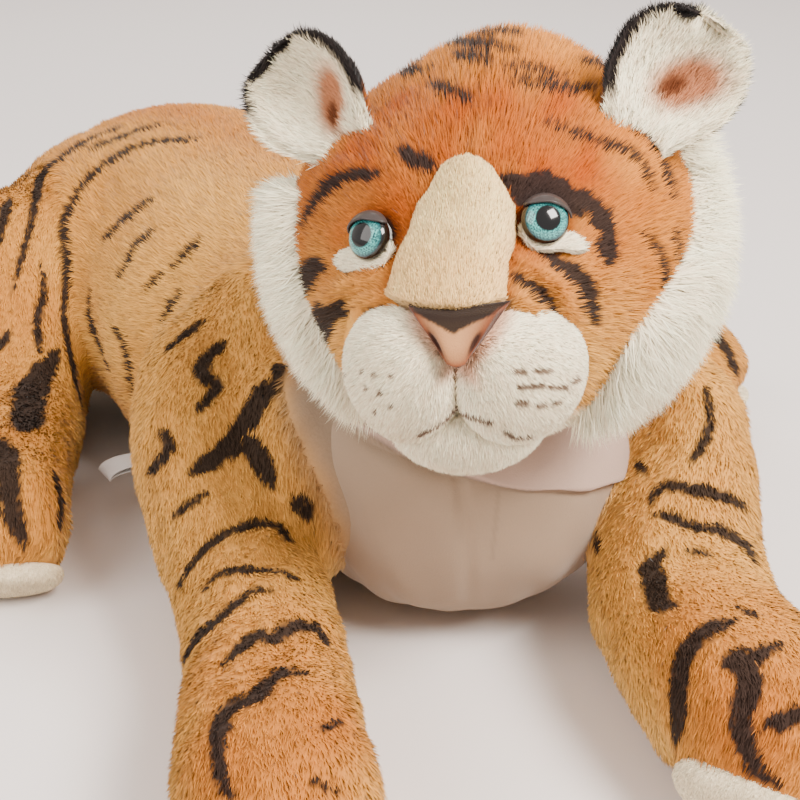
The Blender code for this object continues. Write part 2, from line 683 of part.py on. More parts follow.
def main():
    clear_scene()
    for name, (colour, roughness, coat) in MATERIALS.items():
        material(name, colour, roughness, coat)
    make_torso()
    make_neck()
    filling = make_head()
    make_eyes(filling)
    make_ears()
    make_leg("foreleg_right", FORE_RIGHT, -1, SOLE_AT)
    make_leg("foreleg_left", FORE_LEFT, 1, SOLE_AT)
    make_leg("hindleg_right", HIND_RIGHT, -1, SOLE_AT)
    make_leg("hindleg_left", HIND_LEFT, 1, SOLE_AT)
    make_sole("foreleg_right_sole", FORE_RIGHT, SOLE_AT)
    make_sole("foreleg_left_sole", FORE_LEFT, SOLE_AT)
    make_sole("hindleg_right_sole", HIND_RIGHT, SOLE_AT)
    make_sole("hindleg_left_sole", HIND_LEFT, SOLE_AT)
    make_tail()
    make_label()
    hang("ear_right", ear_frame(-1)[0], ("ear_back_right", "ear_front_right"))
    hang("ear_left", ear_frame(1)[0], ("ear_back_left", "ear_front_left"))
    hang("neck", NECK_P, ("neck", "head", "muzzle", "eye", "ruff", "nose", "throat"))
    hang("foreleg_right", SHOULDER_RIGHT, ("foreleg_right",))
    hang("foreleg_left", SHOULDER_LEFT, ("foreleg_left",))
    hang("hindleg_right", HIP_RIGHT, ("hindleg_right",))
    hang("hindleg_left", HIP_LEFT, ("hindleg_left",))
    hang("tail_root", TAIL_ROOT, ("tail_root",))
    hang("tail_end", TAIL_MIDDLE, ("tail_end", "tail_tip"))


main()
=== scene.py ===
"""A plush tiger lying down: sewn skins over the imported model, each with its own pile of tufts."""
from math import radians, degrees, sin, cos, tan, pi, sqrt, exp

import bmesh
import bpy
import numpy as np
from mathutils import Matrix, Vector, kdtree
from mathutils.bvhtree import BVHTree


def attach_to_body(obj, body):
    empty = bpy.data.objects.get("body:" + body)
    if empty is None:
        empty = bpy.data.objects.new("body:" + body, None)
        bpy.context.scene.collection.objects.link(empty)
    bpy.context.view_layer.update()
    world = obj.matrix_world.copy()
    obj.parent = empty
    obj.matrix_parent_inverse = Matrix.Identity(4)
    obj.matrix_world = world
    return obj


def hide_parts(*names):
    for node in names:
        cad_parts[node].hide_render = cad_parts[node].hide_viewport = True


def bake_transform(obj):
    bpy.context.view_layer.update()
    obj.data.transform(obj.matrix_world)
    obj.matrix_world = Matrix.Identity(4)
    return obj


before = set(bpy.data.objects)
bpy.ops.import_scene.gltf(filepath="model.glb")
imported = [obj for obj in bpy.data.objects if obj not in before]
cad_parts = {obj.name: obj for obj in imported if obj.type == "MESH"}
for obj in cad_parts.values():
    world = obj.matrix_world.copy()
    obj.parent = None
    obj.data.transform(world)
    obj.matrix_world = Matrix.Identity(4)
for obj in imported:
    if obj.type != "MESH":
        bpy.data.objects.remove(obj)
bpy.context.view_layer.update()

SEED = 20261

# ---- camera ----------------------------------------------------------------------------------------------------

EYE = Vector((-0.32, -0.85, 0.50))
AZ, EL = radians(-22), radians(25)
BACK = Vector((sin(AZ) * cos(EL), -cos(AZ) * cos(EL), sin(EL)))
camera = bpy.data.cameras.new("camera")
camera.sensor_width = 36
camera.lens = 64.8
camera_object = bpy.data.objects.new("camera", camera)
bpy.context.scene.collection.objects.link(camera_object)
camera_object.location = EYE
camera_object.rotation_mode = "QUATERNION"
camera_object.rotation_quaternion = (-BACK).to_track_quat("-Z", "Y")
bpy.context.scene.camera = camera_object
AHEAD = -BACK
ACROSS = AHEAD.cross(Vector((0, 0, 1))).normalized()
UPWARD = ACROSS.cross(AHEAD)


def sight(px, py):
    """The line of sight through a place in the 800 x 800 picture."""
    return (AHEAD + ACROSS * ((px - 400) / 1440) - UPWARD * ((py - 400) / 1440)).normalized()


# ---- numbers of the forms: x, y, z, heading, pitch, half width, above, below --------------------------------------

TORSO = [
    (-0.064, 0.396, 0.112, -10, 0, 0.034, 0.036, 0.036), (-0.064, 0.376, 0.108, -10, 0, 0.082, 0.084, 0.084),
    (-0.062, 0.340, 0.102, -10, 0, 0.108, 0.110, 0.097), (-0.056, 0.290, 0.096, -10, 0, 0.120, 0.128, 0.097),
    (-0.044, 0.220, 0.094, -10, 0, 0.127, 0.135, 0.096), (-0.030, 0.150, 0.092, -9, 0, 0.137, 0.137, 0.095),
    (-0.014, 0.080, 0.090, -6, 0, 0.146, 0.139, 0.094), (-0.002, 0.010, 0.092, -2, 0, 0.127, 0.137, 0.095),
    (0.005, -0.050, 0.098, 5, 0, 0.105, 0.130, 0.101), (0.011, -0.100, 0.112, 14, 12, 0.102, 0.112, 0.114),
    (0.006, -0.142, 0.136, 20, 32, 0.097, 0.084, 0.118), (-0.004, -0.164, 0.160, 22, 50, 0.082, 0.058, 0.086),
    (-0.016, -0.174, 0.176, 22, 58, 0.047, 0.044, 0.052),
]
FORE_RIGHT = [
    (-0.100, -0.004, 0.158, 10, -30, 0.028, 0.028, 0.030), (-0.111, -0.030, 0.136, 10, -40, 0.052, 0.050, 0.064),
    (-0.122, -0.070, 0.104, 10, -34, 0.058, 0.064, 0.082), (-0.129, -0.120, 0.078, 10, -18, 0.055, 0.060, 0.080),
    (-0.138, -0.174, 0.061, 10, -7, 0.046, 0.050, 0.063), (-0.147, -0.226, 0.054, 9, -2, 0.044, 0.045, 0.056),
    (-0.159, -0.276, 0.052, 9, 0, 0.046, 0.045, 0.054), (-0.172, -0.324, 0.053, 10, -2, 0.049, 0.046, 0.055),
    (-0.180, -0.364, 0.048, 12, -14, 0.048, 0.041, 0.050), (-0.185, -0.388, 0.031, 14, -38, 0.040, 0.028, 0.034),
]
FORE_LEFT = [
    (0.104, -0.096, 0.156, 24, -30, 0.028, 0.028, 0.030), (0.130, -0.124, 0.135, 24, -40, 0.040, 0.050, 0.064),
    (0.142, -0.164, 0.104, 22, -34, 0.040, 0.064, 0.080), (0.123, -0.208, 0.080, 20, -20, 0.044, 0.060, 0.080),
    (0.092, -0.252, 0.063, 19, -8, 0.053, 0.051, 0.065), (0.077, -0.294, 0.056, 20, -2, 0.050, 0.046, 0.058),
    (0.070, -0.334, 0.054, 24, 0, 0.052, 0.047, 0.056), (0.063, -0.370, 0.052, 34, -4, 0.053, 0.046, 0.054),
    (0.054, -0.396, 0.046, 48, -18, 0.050, 0.038, 0.048), (0.042, -0.408, 0.031, 58, -38, 0.042, 0.027, 0.034),
]
HIND_RIGHT = [
    (-0.182, 0.326, 0.120, 2, -22, 0.028, 0.034, 0.034), (-0.188, 0.294, 0.112, 4, -22, 0.045, 0.074, 0.080),
    (-0.194, 0.246, 0.098, 8, -20, 0.050, 0.086, 0.098), (-0.202, 0.196, 0.082, 14, -15, 0.049, 0.070, 0.086),
    (-0.212, 0.148, 0.066, 17, -10, 0.045, 0.050, 0.068), (-0.224, 0.100, 0.055, 18, -4, 0.042, 0.040, 0.056),
    (-0.238, 0.054, 0.052, 18, 0, 0.041, 0.040, 0.053), (-0.250, 0.010, 0.052, 16, -2, 0.043, 0.044, 0.053),
    (-0.256, -0.026, 0.048, 15, -14, 0.042, 0.040, 0.050), (-0.259, -0.048, 0.030, 14, -38, 0.036, 0.026, 0.033),
]
HIND_LEFT = [
    (0.078, 0.350, 0.120, -22, -22, 0.028, 0.034, 0.034), (0.087, 0.318, 0.112, -22, -22, 0.044, 0.074, 0.080),
    (0.100, 0.268, 0.098, -26, -20, 0.050, 0.086, 0.098), (0.118, 0.216, 0.082, -32, -15, 0.049, 0.070, 0.086),
    (0.142, 0.168, 0.066, -38, -10, 0.045, 0.050, 0.068), (0.174, 0.128, 0.055, -42, -4, 0.042, 0.040, 0.056),
    (0.210, 0.092, 0.052, -44, 0, 0.041, 0.040, 0.053), (0.250, 0.054, 0.052, -44, -2, 0.043, 0.044, 0.053),
    (0.282, 0.024, 0.048, -43, -14, 0.042, 0.040, 0.050), (0.300, 0.004, 0.030, -42, -38, 0.036, 0.026, 0.033),
]
TAIL = [
    (-0.030, 0.392, 0.036, -130, 0, 0.020, 0.020, 0.020), (0.006, 0.410, 0.022, -112, 0, 0.021, 0.021, 0.022),
    (0.060, 0.424, 0.021, -98, 0, 0.021, 0.021, 0.021), (0.115, 0.424, 0.021, -82, 0, 0.021, 0.021, 0.021),
    (0.165, 0.408, 0.021, -64, 0, 0.021, 0.021, 0.021), (0.208, 0.378, 0.021, -46, 0, 0.0215, 0.0215, 0.021),
    (0.240, 0.338, 0.0215, -30, 0, 0.022, 0.022, 0.0215), (0.256, 0.296, 0.022, -14, 0, 0.022, 0.022, 0.022),
    (0.258, 0.262, 0.020, 0, 0, 0.014, 0.014, 0.016),
]
HEAD_C = np.array((-0.016, -0.222, 0.263))
HEAD_F = np.array((-0.57886, -0.79673, 0.17365))
HEAD_L = np.array((0.81325, -0.57963, 0.05154))
HEAD_U = np.array((0.05959, 0.17105, 0.98346))
NECK_P = np.array((-0.008, -0.160, 0.196))
EYE_AT = {-1: (-26.5, 8.4), 1: (25.3, 14.3)}
SIDES = ((-1, "right"), (1, "left"))


def lin(r, g, b):
    """A colour given as the eye reads it, 0 to 255, as the renderer takes it."""
    c = np.array((r, g, b)) / 255.0
    return np.where(c <= 0.04045, c / 12.92, ((c + 0.055) / 1.055) ** 2.4)


ORANGE_DEEP = lin(166, 72, 4)
ORANGE = lin(188, 100, 18)
TAN = lin(222, 160, 74)
PALE = lin(240, 188, 102)
WHITE = lin(255, 238, 204)
CREAM = lin(244, 226, 190)
BLACK = lin(38, 32, 31)
# the chest fabric's grey-brown, partly darkened as painted shade for the shadow under the head
BIB = lin(144, 124, 104)
PINK = lin(218, 158, 132)


def smooth(x, low, high):
    t = np.clip((x - low) / (high - low), 0.0, 1.0)
    return t * t * (3 - 2 * t)


def unit(v):
    return v / np.maximum(np.linalg.norm(v, axis=-1, keepdims=True), 1e-12)


def wobble(p, size, seed=0):
    """Smooth noise from -1 to 1 at places p, with features about size metres across."""
    rng = np.random.default_rng(SEED + 77 * seed)
    out = np.zeros(len(p))
    for _ in range(7):
        k = unit(rng.normal(size=3)) * (2 * pi / size) * rng.uniform(0.6, 1.5)
        out += np.sin(p @ k + rng.uniform(0, 2 * pi))
    return out / 4.2


# ---- forms: grids of points ---------------------------------------------------------------------------------------


def between(stations, s):
    table = np.array(stations)
    at = np.clip(s, 0.0, 1.0) * (len(table) - 1)
    i = np.minimum(at.astype(int), len(table) - 2)
    t = (at - i)[..., None]
    a, b, c, d = (table[np.clip(i + k, 0, len(table) - 1)] for k in (-1, 0, 1, 2))
    return 0.5 * (2 * b + (c - a) * t + (2 * a - 5 * b + 4 * c - d) * t * t + (3 * b - a - 3 * c + d) * t * t * t)


def section(stations, s, a, grow=0.0, power=2.3, floor=0.0):
    """Points of a skin: angle 0 is the top, 90 degrees the tiger's left, 180 the underside."""
    q = between(stations, s)
    h, p = np.radians(q[..., 3]), np.radians(q[..., 4])
    left = np.stack([np.cos(h), -np.sin(h), np.zeros_like(h)], -1)
    forward = np.stack([-np.sin(h) * np.cos(p), -np.cos(h) * np.cos(p), np.sin(p)], -1)
    up = np.cross(forward, left)
    across = np.sign(np.sin(a)) * np.abs(np.sin(a)) ** (2 / power)
    along = np.sign(np.cos(a)) * np.abs(np.cos(a)) ** (2 / power)
    tall = np.where(along > 0, q[..., 6], q[..., 7])
    out = q[..., :3] + left * ((q[..., 5] + grow) * across)[..., None] + up * ((tall + grow) * along)[..., None]
    if floor is not None:
        out[..., 2] = np.maximum(out[..., 2], floor)
    return out


class Grid:
    """A skin over a grid; wrapped, its columns go round and its first and last rows are single points."""

    def __init__(self, points, params, wrapped):
        self.points, self.params, self.wrapped = points, params, wrapped
        rows, cols = points.shape[:2]
        index = np.arange(rows * cols).reshape(rows, cols)
        if wrapped:
            index[0, :] = index[0, 0]
            index[-1, :] = index[-1, 0]
            index = np.concatenate([index, index[:, :1]], 1)
        a, b = index[:-1, :-1].ravel(), index[:-1, 1:].ravel()
        c, d = index[1:, 1:].ravel(), index[1:, :-1].ravel()
        quads = np.stack([a, b, c, d], 1)
        if wrapped:
            points[0, :] = points[0].mean(0)
            points[-1, :] = points[-1].mean(0)
        self.verts = points.reshape(-1, 3)
        tris = np.concatenate([quads[:, [0, 1, 2]], quads[:, [0, 2, 3]]])
        keep = (tris[:, 0] != tris[:, 1]) & (tris[:, 1] != tris[:, 2]) & (tris[:, 2] != tris[:, 0])
        self.tris = tris[keep]
        self.quads = quads
        self.values = params.reshape(-1, params.shape[-1])
        self.flow = np.zeros_like(self.verts)
        self._normals()

    def _normals(self):
        v = self.verts
        f = np.cross(v[self.tris[:, 1]] - v[self.tris[:, 0]], v[self.tris[:, 2]] - v[self.tris[:, 0]])
        n = np.zeros_like(v)
        for k in range(3):
            np.add.at(n, self.tris[:, k], f)
        self.normals = unit(n)

    def outwards(self, centre):
        """Turns the faces away from a place, or from the grid's own middle."""
        if ((self.verts - centre) * self.normals).sum() < 0:
            self.tris = self.tris[:, ::-1].copy()
            self.quads = self.quads[:, ::-1].copy()
            self._normals()
        return self

    def set_flow(self, axis, sign=1.0):
        """The pile leans along the rows (axis 0) or the columns (axis 1)."""
        g = np.gradient(self.points, axis=axis) * sign
        if self.wrapped:
            g[0], g[-1] = g[1], g[-2]
        self.flow = unit(g.reshape(-1, 3))
        return self

    def push(self, far):
        """Moves the points along their normals."""
        self.verts = self.verts + self.normals * far[:, None]
        self.points = self.verts.reshape(self.points.shape)
        self._normals()
        return self


def tube(stations, s0, s1, rows, cols, **more):
    """A closed form along sections, its ends rounded like a stuffed toy's."""
    k = np.arange(rows) / (rows - 1)
    s = s0 + (s1 - s0) * k
    a = np.arange(cols) / cols * 2 * pi - pi
    ss, aa = np.meshgrid(s, a, indexing="ij")
    points = section(stations, ss, aa, **more)
    return Grid(points, np.stack([ss, np.sin(aa), np.cos(aa)], -1), True)


def rounded_end(stations, s0, s1, rows, cols, end_far, end_rows=9, grow=0.0):
    """A tube whose last part swells on as a half dome, end_far metres long."""
    base_rows = rows - end_rows
    s = s0 + (s1 - s0) * np.arange(base_rows) / (base_rows - 1)
    a = np.arange(cols) / cols * 2 * pi - pi
    ss, aa = np.meshgrid(s, a, indexing="ij")
    body = section(stations, ss, aa, grow)
    q = between(stations, np.array([s1]))[0]
    h, p = radians(q[3]), radians(q[4])
    forward = np.array((-sin(h) * cos(p), -cos(h) * cos(p), sin(p)))
    cap, capped = [], []
    centre = q[:3]
    for i in range(1, end_rows + 1):
        t = i / end_rows * pi / 2
        ring = centre + (body[-1] - centre) * cos(t) + forward * (end_far * sin(t))
        ring[:, 2] = np.maximum(ring[:, 2], 0.0)
        cap.append(ring)
        capped.append(np.stack([np.full(cols, s1 + 0.001 + 0.03 * i / end_rows), np.sin(a), np.cos(a)], -1))
    params = np.concatenate([np.stack([ss, np.sin(aa), np.cos(aa)], -1), np.array(capped)])
    return Grid(np.concatenate([body, np.array(cap)]), params, True)


# ---- the head -----------------------------------------------------------------------------------------------------


def arc(t, e, t0, e0):
    """Degrees between directions given as turn and lift."""
    t, e, t0, e0 = np.radians(t), np.radians(e), radians(t0), radians(e0)
    c = np.sin(e) * sin(e0) + np.cos(e) * cos(e0) * np.cos(t - t0)
    return np.degrees(np.arccos(np.clip(c, -1, 1)))


def head_radius(t, e):
    """The head from its centre at turn t to the tiger's left and lift e, in degrees."""
    tr, er = np.radians(t), np.radians(e)
    a, f, u = np.sin(tr) * np.cos(er), np.cos(tr) * np.cos(er), np.sin(er)
    deep = np.where(f > 0, 0.086, 0.092)
    tall = np.where(u > 0, 0.103, 0.096)
    r = 1 / np.sqrt((a / 0.105) ** 2 + (f / deep) ** 2 + (u / tall) ** 2)
    muzzle = np.degrees(np.arccos(np.clip(f * cos(radians(-31)) + u * sin(radians(-31)), -1, 1)))
    r = r + 0.034 * np.exp(-((muzzle / 32) ** 2))
    crown = np.degrees(np.arccos(np.clip(-f * sin(radians(20)) + u * cos(radians(20)), -1, 1)))
    r = r + 0.008 * np.exp(-((crown / 30) ** 2))
    return r


def head_detail(t, e):
    """What the sewn head adds to its plain form."""
    r = np.zeros_like(t)
    for side in (-1, 1):
        et, ee = EYE_AT[side]
        r -= 0.0035 * np.exp(-((arc(t, e, et, ee) / 8) ** 2))
        r += 0.0030 * np.exp(-((arc(t, e, et, ee + 17) / 10) ** 2))
        r += 0.0022 * np.exp(-((arc(t, e, side * 46, -6) / 16) ** 2))
    # the crown is sewn to a seam, with a slight dip along it
    r -= 0.0016 * np.exp(-((t / 2.0) ** 2)) * smooth(e, 34, 44)
    # flatter above the right ear's root
    r -= 0.0135 * np.exp(-((arc(t, e, -58, 62) / 27) ** 2))
    r -= 0.0045 * np.exp(-((arc(t, e, 62, 58) / 22) ** 2))
    r += 0.0030 * np.exp(-((arc(t, e, 30, 80) / 16) ** 2))
    return r


def head_place(t, e, off=0.0, detail=True):
    t, e = np.asarray(t, float), np.asarray(e, float)
    r = head_radius(t, e) + off
    if detail:
        r = r + head_detail(t, e)
    tr, er = np.radians(t), np.radians(e)
    return HEAD_C + (
        HEAD_L * (np.sin(tr) * np.cos(er) * r)[..., None]
        + HEAD_F * (np.cos(tr) * np.cos(er) * r)[..., None]
        + HEAD_U * (np.sin(er) * r)[..., None]
    )


def head_turn(p):
    """Turn and lift of places on the head."""
    d = np.asarray(p) - HEAD_C
    a, f, u = d @ HEAD_L, d @ HEAD_F, d @ HEAD_U
    return np.degrees(np.arctan2(a, f)), np.degrees(np.arctan2(u, np.hypot(a, f)))


FRONT = np.array([(-45, 48), (-22, 47), (-11, 40), (-5, 16.0), (6, 16.6), (18, 15.7), (29, 9.4), (35, 1.4), (90, 0.5)], float)


def front_edge(e):
    """Where the orange starts beside the cream bridge and the white muzzle, in degrees of turn."""
    return np.interp(e, FRONT[:, 0], FRONT[:, 1])


def front_mid(e):
    """Where the bridge's middle is, in degrees of turn, by lift."""
    return -1.9 * smooth(e, 16, -8) + 1.6 * smooth(e, 9, 34) + 1.5 * smooth(e, 2, 12) * smooth(e, 33, 20)


def patch(t_of, e_of, nu, nv, off_of, back=0.006):
    """A panel sewn on the head: its rim dives back under the skin all round, its face swells."""
    u, v = np.meshgrid(np.linspace(-1, 1, nu), np.linspace(-1, 1, nv), indexing="ij")
    rim = np.maximum(np.abs(u), np.abs(v))
    off = off_of(u, v) - back * smooth(rim, 0.86, 1.0)
    t, e = t_of(u, v), e_of(u, v)
    points = head_place(t, e, off)
    return Grid(points, np.stack([t, e, u, v], -1), False).outwards(HEAD_C)


# ---- materials ----------------------------------------------------------------------------------------------------


def node(tree, kind, at, **values):
    n = tree.nodes.new(kind)
    n.location = at
    for key, value in values.items():
        setattr(n, key, value)
    return n


def plush(name, rough=0.85, sheen=0.35, tint=(1, 1, 1), grain=900.0, bump=0.25, mottle=0.10, from_colour=True, base=None):
    """Cloth pile: the colour of each place, mottled at two scales, with a fine grain."""
    m = bpy.data.materials.new(name)
    m.use_nodes = True
    tree = m.node_tree
    tree.nodes.clear()
    out = node(tree, "ShaderNodeOutputMaterial", (700, 0))
    shade = node(tree, "ShaderNodeBsdfPrincipled", (420, 0))
    tree.links.new(shade.outputs["BSDF"], out.inputs["Surface"])
    shade.inputs["Roughness"].default_value = rough
    shade.inputs["Sheen Weight"].default_value = sheen
    shade.inputs["Sheen Roughness"].default_value = 0.45
    shade.inputs["Specular IOR Level"].default_value = 0.12
    place = node(tree, "ShaderNodeTexCoord", (-900, -200))
    broad = node(tree, "ShaderNodeTexNoise", (-640, -120))
    broad.inputs["Scale"].default_value = 38.0
    broad.inputs["Detail"].default_value = 3.0
    fine = node(tree, "ShaderNodeTexNoise", (-640, -380))
    fine.inputs["Scale"].default_value = grain
    fine.inputs["Detail"].default_value = 2.0
    tree.links.new(place.outputs["Object"], broad.inputs["Vector"])
    tree.links.new(place.outputs["Object"], fine.inputs["Vector"])
    both = node(tree, "ShaderNodeMix", (-400, -200), data_type="FLOAT")
    both.inputs[0].default_value = 0.5
    tree.links.new(broad.outputs["Fac"], both.inputs[2])
    tree.links.new(fine.outputs["Fac"], both.inputs[3])
    spread = node(tree, "ShaderNodeMapRange", (-220, -200))
    spread.inputs["From Min"].default_value = 0.25
    spread.inputs["From Max"].default_value = 0.75
    spread.inputs["To Min"].default_value = 1.0 - mottle
    spread.inputs["To Max"].default_value = 1.0 + mottle
    tree.links.new(both.outputs[0], spread.inputs["Value"])
    times = node(tree, "ShaderNodeVectorMath", (160, 60), operation="SCALE")
    tree.links.new(spread.outputs["Result"], times.inputs["Scale"])
    if from_colour:
        colour = node(tree, "ShaderNodeAttribute", (-220, 100), attribute_name="fur")
        tree.links.new(colour.outputs["Color"], times.inputs[0])
    else:
        times.inputs[0].default_value = tuple(base)
    tree.links.new(times.outputs["Vector"], shade.inputs["Base Color"])
    if bump:
        lift = node(tree, "ShaderNodeBump", (160, -260))
        lift.inputs["Strength"].default_value = bump
        lift.inputs["Distance"].default_value = 0.0008
        tree.links.new(fine.outputs["Fac"], lift.inputs["Height"])
        tree.links.new(lift.outputs["Normal"], shade.inputs["Normal"])
    return m


FUR = plush("pile_tufts", rough=0.82, sheen=0.05, bump=0.0, mottle=0.06)
SKIN = plush("plush_backing", rough=0.9, sheen=0.08, grain=700.0, bump=0.5, mottle=0.12)
VELOUR = plush("bib_velour", rough=0.9, sheen=0.22, grain=1100.0, bump=0.35, mottle=0.035)


# ---- putting meshes in the scene ----------------------------------------------------------------------------------

SLOTS = {}
MADE = {}


def add_mesh(name, verts, faces, material, colours=None, smooth_shade=True, normals=None):
    mesh = bpy.data.meshes.new(name)
    faces = np.asarray(faces, dtype=np.int32)
    mesh.vertices.add(len(verts))
    mesh.vertices.foreach_set("co", np.asarray(verts, dtype=np.float32).ravel())
    mesh.loops.add(faces.size)
    mesh.loops.foreach_set("vertex_index", faces.ravel())
    mesh.polygons.add(len(faces))
    mesh.polygons.foreach_set("loop_start", np.arange(0, faces.size, faces.shape[1], dtype=np.int32))
    mesh.polygons.foreach_set("use_smooth", np.full(len(faces), smooth_shade))
    mesh.update(calc_edges=True)
    mesh.validate(verbose=False)
    if colours is not None:
        layer = mesh.color_attributes.new("fur", "FLOAT_COLOR", "POINT")
        rgba = np.ones((len(verts), 4), dtype=np.float32)
        rgba[:, :3] = colours
        layer.data.foreach_set("color", rgba.ravel())
    if normals is not None:
        mesh.normals_split_custom_set_from_vertices(normals.astype(np.float32))
    made = bpy.data.objects.new(name, mesh)
    made.data.materials.append(material)
    bpy.context.scene.collection.objects.link(made)
    return made


def attach(made, rides):
    if isinstance(rides, str):
        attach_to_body(made, rides)
    else:
        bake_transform(made)
    MADE[made.name] = made
    return made


def skin_piece(name, grid, paint, rides, nodes=(), material=None, shell=None):
    """A skin's own mesh, with its colours at its points."""
    used = np.unique(grid.tris)
    back = np.full(len(grid.verts), -1)
    back[used] = np.arange(len(used))
    verts = grid.verts[used]
    colours = paint(verts, grid.values[used])[0]
    # painted shade: a skin under a pile is painted 20% darker, standing in for the shade that the tufts cast on it
    made = add_mesh(name, verts, back[grid.tris], material or SKIN, colours * (0.80 if material is None else 1.0))
    if shell:
        wall = made.modifiers.new("shell", "SOLIDIFY")
        wall.thickness, wall.offset = shell, -1.0
    attach(made, rides)
    if nodes:
        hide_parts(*nodes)
    return made


def scatter(grid, per_cm2, rng, where=None):
    """Places spread over a skin, with their normals, flow and values."""
    v, t = grid.verts, grid.tris
    area = 0.5 * np.linalg.norm(np.cross(v[t[:, 1]] - v[t[:, 0]], v[t[:, 2]] - v[t[:, 0]]), axis=1)
    middle = v[t].mean(1)
    weight = area * (per_cm2(middle, grid.values[t].mean(1)) if callable(per_cm2) else np.full(len(area), float(per_cm2)))
    count = int(weight.sum() * 1e4)
    edges = np.cumsum(weight)
    pick = np.searchsorted(edges, rng.random(count) * edges[-1])
    pick = np.minimum(pick, len(t) - 1)
    r1, r2 = np.sqrt(rng.random(count)), rng.random(count)
    w = np.stack([1 - r1, r1 * (1 - r2), r1 * r2], 1)[..., None]
    tri = t[pick]
    p = (v[tri] * w).sum(1)
    n = unit((grid.normals[tri] * w).sum(1))
    f = (grid.flow[tri] * w).sum(1)
    q = (grid.values[tri] * w).sum(1)
    if where is not None:
        keep = where(p, n, q)
        p, n, f, q = p[keep], n[keep], f[keep], q[keep]
    return p, n, f, q


FACE_OF_TUFT = np.array([[0, 3, 2], [2, 3, 1], [1, 3, 0], [0, 2, 1]])
BLEND_N = 0.72


def pile(name, grid, paint, rides, per_cm2=30, length=0.0085, width=0.0007, lift=0.45, messy=0.22,
         where=None, seed=0, nodes=(), curl=0.0, floor=0.0002):
    """The pile of a skin: each tuft is a thin curved blade, leaning with the nap."""
    rng = np.random.default_rng(SEED + seed)
    scale = 1.0
    dens = (lambda p, q: per_cm2(p, q) * scale) if callable(per_cm2) else per_cm2 * scale
    p, n, f, q = scatter(grid, dens, rng, where)
    if not len(p):
        return None
    count = len(p)
    long = length(p, q) if callable(length) else np.full(count, length)
    wide = width(p, q) if callable(width) else np.full(count, width)
    wide = wide / sqrt(scale)
    rise = lift(p, q) if callable(lift) else np.full(count, lift)
    nap = f - n * (f * n).sum(1, keepdims=True)
    nap = unit(nap)
    # locks: neighbouring tufts lean the same way
    side = np.cross(n, nap)
    sway = 0.55 * wobble(p, 0.016, seed + 1) + 0.35 * wobble(p, 0.045, seed + 2)
    lean = messy * rng.normal(size=count) + messy * 1.5 * sway
    t = unit(nap * np.cos(lean)[:, None] + side * np.sin(lean)[:, None])
    up = rise + 0.16 * rng.random(count) + 0.10 * wobble(p, 0.012, seed + 3)
    r = rng.random(count)
    L = (long * (0.72 + 0.5 * r))[:, None]
    W = (wide * (0.75 + 0.5 * rng.random(count)))[:, None]
    b = np.cross(n, t)
    spin = rng.uniform(-0.9, 0.9, count)[:, None]
    b = unit(b * np.cos(spin) + n * np.sin(spin))
    tip = p + (t * np.cos(up)[:, None] + n * np.sin(up)[:, None]) * L
    tip[:, 2] = np.maximum(tip[:, 2], floor + 0.0002)
    colours, tipped = paint(p + t * (np.cos(up)[:, None] * L * 0.40), q)
    shade = (0.86 + 0.28 * rng.random(count))[:, None] * (1 + 0.05 * wobble(p, 0.010, seed + 4)[:, None])
    # painted shade and sheen: each tuft's root is painted darker, standing in for the shade deep in the pile, and its
    # tip is painted 10% lighter, a painted sheen on the tips
    root = colours * shade * (0.74 + 0.20 * np.clip(colours.min(1, keepdims=True), 0, 1))
    end = np.clip((colours if tipped is None else tipped) * shade * 1.10, 0, 1)
    low = p - n * 0.0006
    verts = np.stack([low - b * W, low + b * W, p + n * 0.0006 + t * 0.0009, tip], 1)
    verts[..., 2] = np.maximum(verts[..., 2], floor)
    tone = np.stack([root, root, root * 1.03, end], 1)
    jitter = rng.normal(size=(count, 3)) * 0.20
    soft = unit(n * BLEND_N + unit(np.cross(b, tip - p)) * 0.0 + jitter + t * 0.12)
    soft = np.repeat(soft[:, None, :], 4, 1)
    faces = (np.arange(count)[:, None, None] * 4 + FACE_OF_TUFT[None]).reshape(-1, 3)
    made = add_mesh(name, verts.reshape(-1, 3), faces, FUR, tone.reshape(-1, 3), True, soft.reshape(-1, 3))
    attach(made, rides)
    if nodes:
        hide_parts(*nodes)
    return made


# ---- light and floor ----------------------------------------------------------------------------------------------

world = bpy.data.worlds.new("studio")
bpy.context.scene.world = world
world.use_nodes = True
world.node_tree.nodes["Background"].inputs["Color"].default_value = (1.0, 0.915, 0.850, 1)
world.node_tree.nodes["Background"].inputs["Strength"].default_value = 1.11


def lamp(name, at, towards, size, power, colour=(1, 1, 1)):
    light = bpy.data.lights.new(name, "AREA")
    light.shape = "SQUARE"
    light.size = size
    light.energy = power
    light.color = colour
    made = bpy.data.objects.new(name, light)
    bpy.context.scene.collection.objects.link(made)
    made.location = at
    made.rotation_mode = "QUATERNION"
    made.rotation_quaternion = (Vector(towards) - Vector(at)).to_track_quat("-Z", "Y")
    return made


lamp("key", (0.62, -1.55, 1.75), (-0.02, -0.1, 0.12), 0.85, 130, (1.0, 0.93, 0.86))
lamp("fill", (-2.0, -0.6, 1.5), (0.0, 0.0, 0.12), 1.8, 54, (1.0, 0.95, 0.90))
lamp("rim", (0.6, 1.9, 1.7), (0.0, 0.0, 0.15), 1.6, 22, (1.0, 0.98, 0.96))


